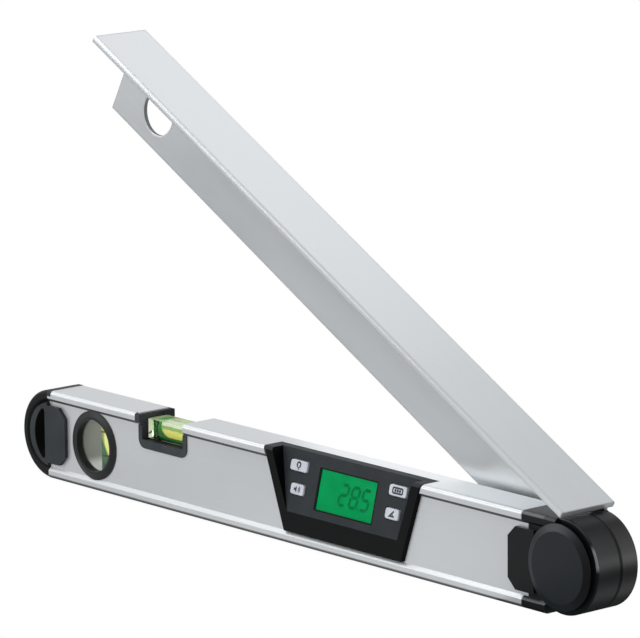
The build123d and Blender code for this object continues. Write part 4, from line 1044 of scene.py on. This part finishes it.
# Painted light: what looks up is painted nearly white and glows.
lit = sleeve.span(sleeve.facing()[2], 0.6, 0.9)
sleeve.paint(lit, wall, PAINTED_LIGHT_WHITE)
sleeve.feed("Emission Color", sleeve.tint(lit, (0.0, 0.0, 0.0), PAINTED_LIGHT_WHITE))
sleeve.sheen(grit, 0.4, 0.55)
dress(sleeve, "plumb_sleeve")

# %% [markdown]
# ## Inside parts
#
# None of these shows until the tool is taken apart, but each still has its own finish: glass-fibre
# boards with a green mask over their tracks, soft silicone mats, zinc-plated screws, spring steel, a
# sintered bronze bush and two film-wrapped cells.


# %% Boards, metals, cells
def metal_part(name, colour, rough):
    """Plain metal with fine pits."""
    part = Finish(name, Metallic=1.0)
    spot = part.place()
    cloud = part.noise(spot, 160.0, 3.0)
    pits = part.noise(spot, 3000.0)
    shade = part.span(cloud * 0.6 + pits * 0.4, 0.3, 0.7)
    part.paint(shade, [c * 0.85 for c in colour], colour)
    part.sheen(cloud, rough - 0.04, rough + 0.04)
    part.relief(pits, FINEST, 0.3, 0.2 * MM)
    return part


board = Finish("board_green", Specular_IOR_Level=0.45, Roughness=0.35)
tracks = board.add("ShaderNodeTexBrick", {"offset": 0.5}, {
    "Vector": board.stretch(board.place(), (420.0, 420.0, 420.0)), "Scale": 1.0, "Mortar Size": 0.03,
    "Color1": (0.012, 0.10, 0.04, 1.0), "Color2": (0.015, 0.12, 0.05, 1.0), "Mortar": (0.03, 0.2, 0.08, 1.0)})
board.feed("Base Color", tracks)
dress(board, "main_board", "sensor_board")
dress(moulded("silicone", (0.42, 0.43, 0.45), 0.6), "key_mats")
dress(metal_part("zinc_screw", (0.42, 0.42, 0.43), 0.34), "board_screws", "tongue_screws", "arm_screws")
dress(metal_part("spring_steel", (0.55, 0.55, 0.56), 0.3), "battery_contacts", "pivot_shaft", "disc_spring",
      "shaft_nut", "sensor_disc")
dress(metal_part("bronze", (0.55, 0.36, 0.16), 0.4), "pivot_bush", "friction_washer")
dress(moulded("cell_film", (0.05, 0.055, 0.07), 0.3, FINEST, 0.5), "battery_cells")

# %% [markdown]
# ## The camera
#
# The photograph was taken from the right, a little above, with a long lens from far away, so lines that
# are parallel on the tool are almost parallel in the picture. Its place comes from a fit of the tool's
# straight edges to the picture.

# %% Camera
TURN, RISE, ROLL = math.radians(49.321), math.radians(11.385), math.radians(-0.485)
AIM = Vector((13.25, 0.25, 60.0))
ASIDE, HIGHER, FAR = 7.844, 54.311, 2488.458
FOCAL_PIXELS = 4887.11
PICTURE_WIDE = 640.0
SENSOR = 36.0
right = Vector((math.cos(TURN), math.sin(TURN), 0.0))
back = Vector((math.sin(TURN) * math.cos(RISE), -math.cos(TURN) * math.cos(RISE), math.sin(RISE)))
up = back.cross(right)
place = (AIM + right * ASIDE + up * HIGHER + back * FAR) * MM
level = right * math.cos(ROLL) + up * math.sin(ROLL)
upright = up * math.cos(ROLL) - right * math.sin(ROLL)
turned = Matrix((level, upright, back)).transposed().to_4x4()
lens = bpy.data.cameras.new("photo_camera")
lens.sensor_width = SENSOR
lens.lens = FOCAL_PIXELS * SENSOR / PICTURE_WIDE
camera = bpy.data.objects.new("photo_camera", lens)
camera.matrix_world = Matrix.Translation(place) @ turned
bpy.context.scene.collection.objects.link(camera)
bpy.context.scene.camera = camera
print("camera at", [round(c, 3) for c in camera.location])

# %% [markdown]
# ## A white studio
#
# The picture has a plain white ground. The world is white to the camera and to what is seen through
# glass; metal sees it too, but darker behind the camera and below the horizon, as in a room where the
# light hangs above and around the table. In front and far below, a little comes back from the floor.
# That shade is what gives the black plastic its form.

# %% The world
VIEW_EAST, VIEW_SOUTH = 0.757, 0.653
sky = Finish("studio", bpy.data.worlds, "Background", Color=(1.0, 1.0, 1.0, 1.0))
east, north, height = sky.parts(sky.add("ShaderNodeTexCoord", outlet="Generated"))
glossy = sky.add("ShaderNodeLightPath", outlet="Is Glossy Ray")
diffuse = sky.add("ShaderNodeLightPath", outlet="Is Diffuse Ray")
above = sky.span(height, -0.06, 0.04)
higher = sky.span(height, 0.25, 0.8)
deep = sky.span(height * -1.0, 0.35, 0.75)
behind = sky.span(east * VIEW_EAST - north * VIEW_SOUTH, 0.35, 0.85)
mirrored = sky.span(above, 0.0, 1.0, 0.05, 0.82) - higher * 0.16
mirrored = mirrored + deep * sky.span(east, -0.1, 0.2, 0.0, 0.42)
mirrored = mirrored + (1.0 - above) * sky.span(north * -1.0, 0.3, 0.6, 0.0, 0.3)
mirrored = mirrored * (1.0 - behind * 0.8)
scattered = sky.span(height, -0.3, 0.5, 0.45, 1.02) * (1.0 - behind * 0.35)
sky.feed("Strength", (1.0 - glossy - diffuse) + glossy * mirrored + diffuse * scattered)
bpy.context.scene.world = sky.material
print("world:", len(sky.tree.nodes), "shader nodes")

# %% [markdown]
# ### The sheet on the table
#
# It is white as well, and keeps a faint shadow: to the camera it mostly glows, so that it is as white as
# the world. In the metal it looks darker towards the left. The camera sees the sheet only around the
# level, and from above, so that it never hides the arm when that is opened past the level.

# %% The sheet
SHEET = ((-3.0, -2.0), (0.168, -2.0), (0.168, 4.0), (-3.0, 4.0))
SHEET_HEIGHT = -0.2 * MM
SHEET_GLOW = 1.06
sheet = Finish("white_sheet", Roughness=0.7, Specular_IOR_Level=0.2)
spot = sheet.place()
fibres = sheet.noise(spot, 40.0, 3.0)
sheet.paint(fibres, (0.86, 0.86, 0.86), (0.90, 0.90, 0.90))
seen = sheet.add("ShaderNodeLightPath", outlet="Is Camera Ray")
mirror = sheet.add("ShaderNodeLightPath", outlet="Is Glossy Ray")
through = sheet.add("ShaderNodeLightPath", outlet="Is Transmission Ray")
east, north = sheet.parts(spot)[:2]
bright = sheet.span(east, -0.2, 0.06, 0.0, 0.26) + sheet.span(east, -0.8, -0.25, 0.3, 0.58)
strength = SHEET_GLOW - mirror * (SHEET_GLOW - bright)
glow = sheet.add("ShaderNodeEmission", None, {"Color": (1.0, 1.0, 1.0, 1.0), "Strength": strength})
share = 0.86 * (seen + through) + 0.95 * mirror
paper = Value(sheet, sheet.shader.outputs[0])
both = sheet.add("ShaderNodeMixShader", None, {0: share, 1: paper, 2: glow})
below = sheet.add("ShaderNodeNewGeometry", outlet="Backfacing")
near = sheet.around(north * north, 18.0, 40.0, 1.0, 0.0)
near = near * sheet.span(east, -0.225, -0.2) * sheet.span(east, 0.09, 0.15, 1.0, 0.0)
hidden = seen * (1.0 - near * (1.0 - below))
nothing = sheet.add("ShaderNodeBsdfTransparent")
whole = sheet.add("ShaderNodeMixShader", None, {0: hidden, 1: both, 2: nothing})
sheet.tree.links.new(whole.socket, sheet.tree.nodes["Material Output"].inputs["Surface"])

mesh = bpy.data.meshes.new("table_sheet")
mesh.from_pydata([(x, y, SHEET_HEIGHT) for x, y in SHEET], [], [(0, 1, 2, 3)])
mesh.materials.append(sheet.material)
table = bpy.data.objects.new("table_sheet", mesh)
bpy.context.scene.collection.objects.link(table)
print("sheet:", len(sheet.tree.nodes), "shader nodes")

# %% [markdown]
# ## Lamps
#
# Soft boxes do what the white room can't: they give the metal its gradients. One on the left draws the
# bright line along the rounded front lips, with a small one nearer the hub where that line is brightest.
# One in front lights the corner between arm and level, which mirror each other. Two behind fade along the
# level's top and the arm's plate, and one on the right shapes the hub's round side. Each stands in the
# direction in which its face mirrors the camera's view.


# %% Soft boxes
def soft_lamp(name, aim, way, far, wide, tall, radiance):
    """A lamp that stands this far along a way from what it lights, and looks this bright in a mirror."""
    lamp = bpy.data.lights.new(name, "AREA")
    lamp.shape = "RECTANGLE"
    lamp.size = wide
    lamp.size_y = tall
    lamp.energy = radiance * math.pi * wide * tall
    holder = bpy.data.objects.new(name, lamp)
    holder.location = Vector(aim) + Vector(way) * far
    holder.rotation_euler = (-Vector(way)).to_track_quat("-Z", "Y").to_euler()
    holder.visible_camera = False
    bpy.context.scene.collection.objects.link(holder)
    print(name, round(lamp.energy, 2), "W")


LIP_WAY = (-0.743, -0.197, 0.639)
FRONT_WAY = (-0.72, -0.65, 0.25)
TOP_WAY = (-0.742, 0.601, 0.297)
PLATE_WAY = (-0.24, 0.639, 0.729)
HUB_WAY = (0.755, 0.639, 0.02)
soft_lamp("left_box", (0.0, 0.0, 0.03), LIP_WAY, far=1.3, wide=0.8, tall=0.8, radiance=0.56)
soft_lamp("lip_box", (0.185, -0.01, 0.046), LIP_WAY, far=0.6, wide=0.18, tall=0.18, radiance=2.8)
soft_lamp("front_box", (0.15, 0.0, 0.055), FRONT_WAY, far=1.2, wide=0.5, tall=0.4, radiance=2.3)
soft_lamp("top_box", (0.15, 0.0, 0.0486), TOP_WAY, far=0.5, wide=0.15, tall=0.28, radiance=0.4)
soft_lamp("plate_box", (-0.12, 0.0, 0.20), PLATE_WAY, far=1.0, wide=0.5, tall=0.5, radiance=0.46)
soft_lamp("hub_box", (0.23, 0.0, 0.025), HUB_WAY, far=1.0, wide=0.5, tall=0.3, radiance=1.2)
bpy.context.scene.view_settings.view_transform = "Standard"
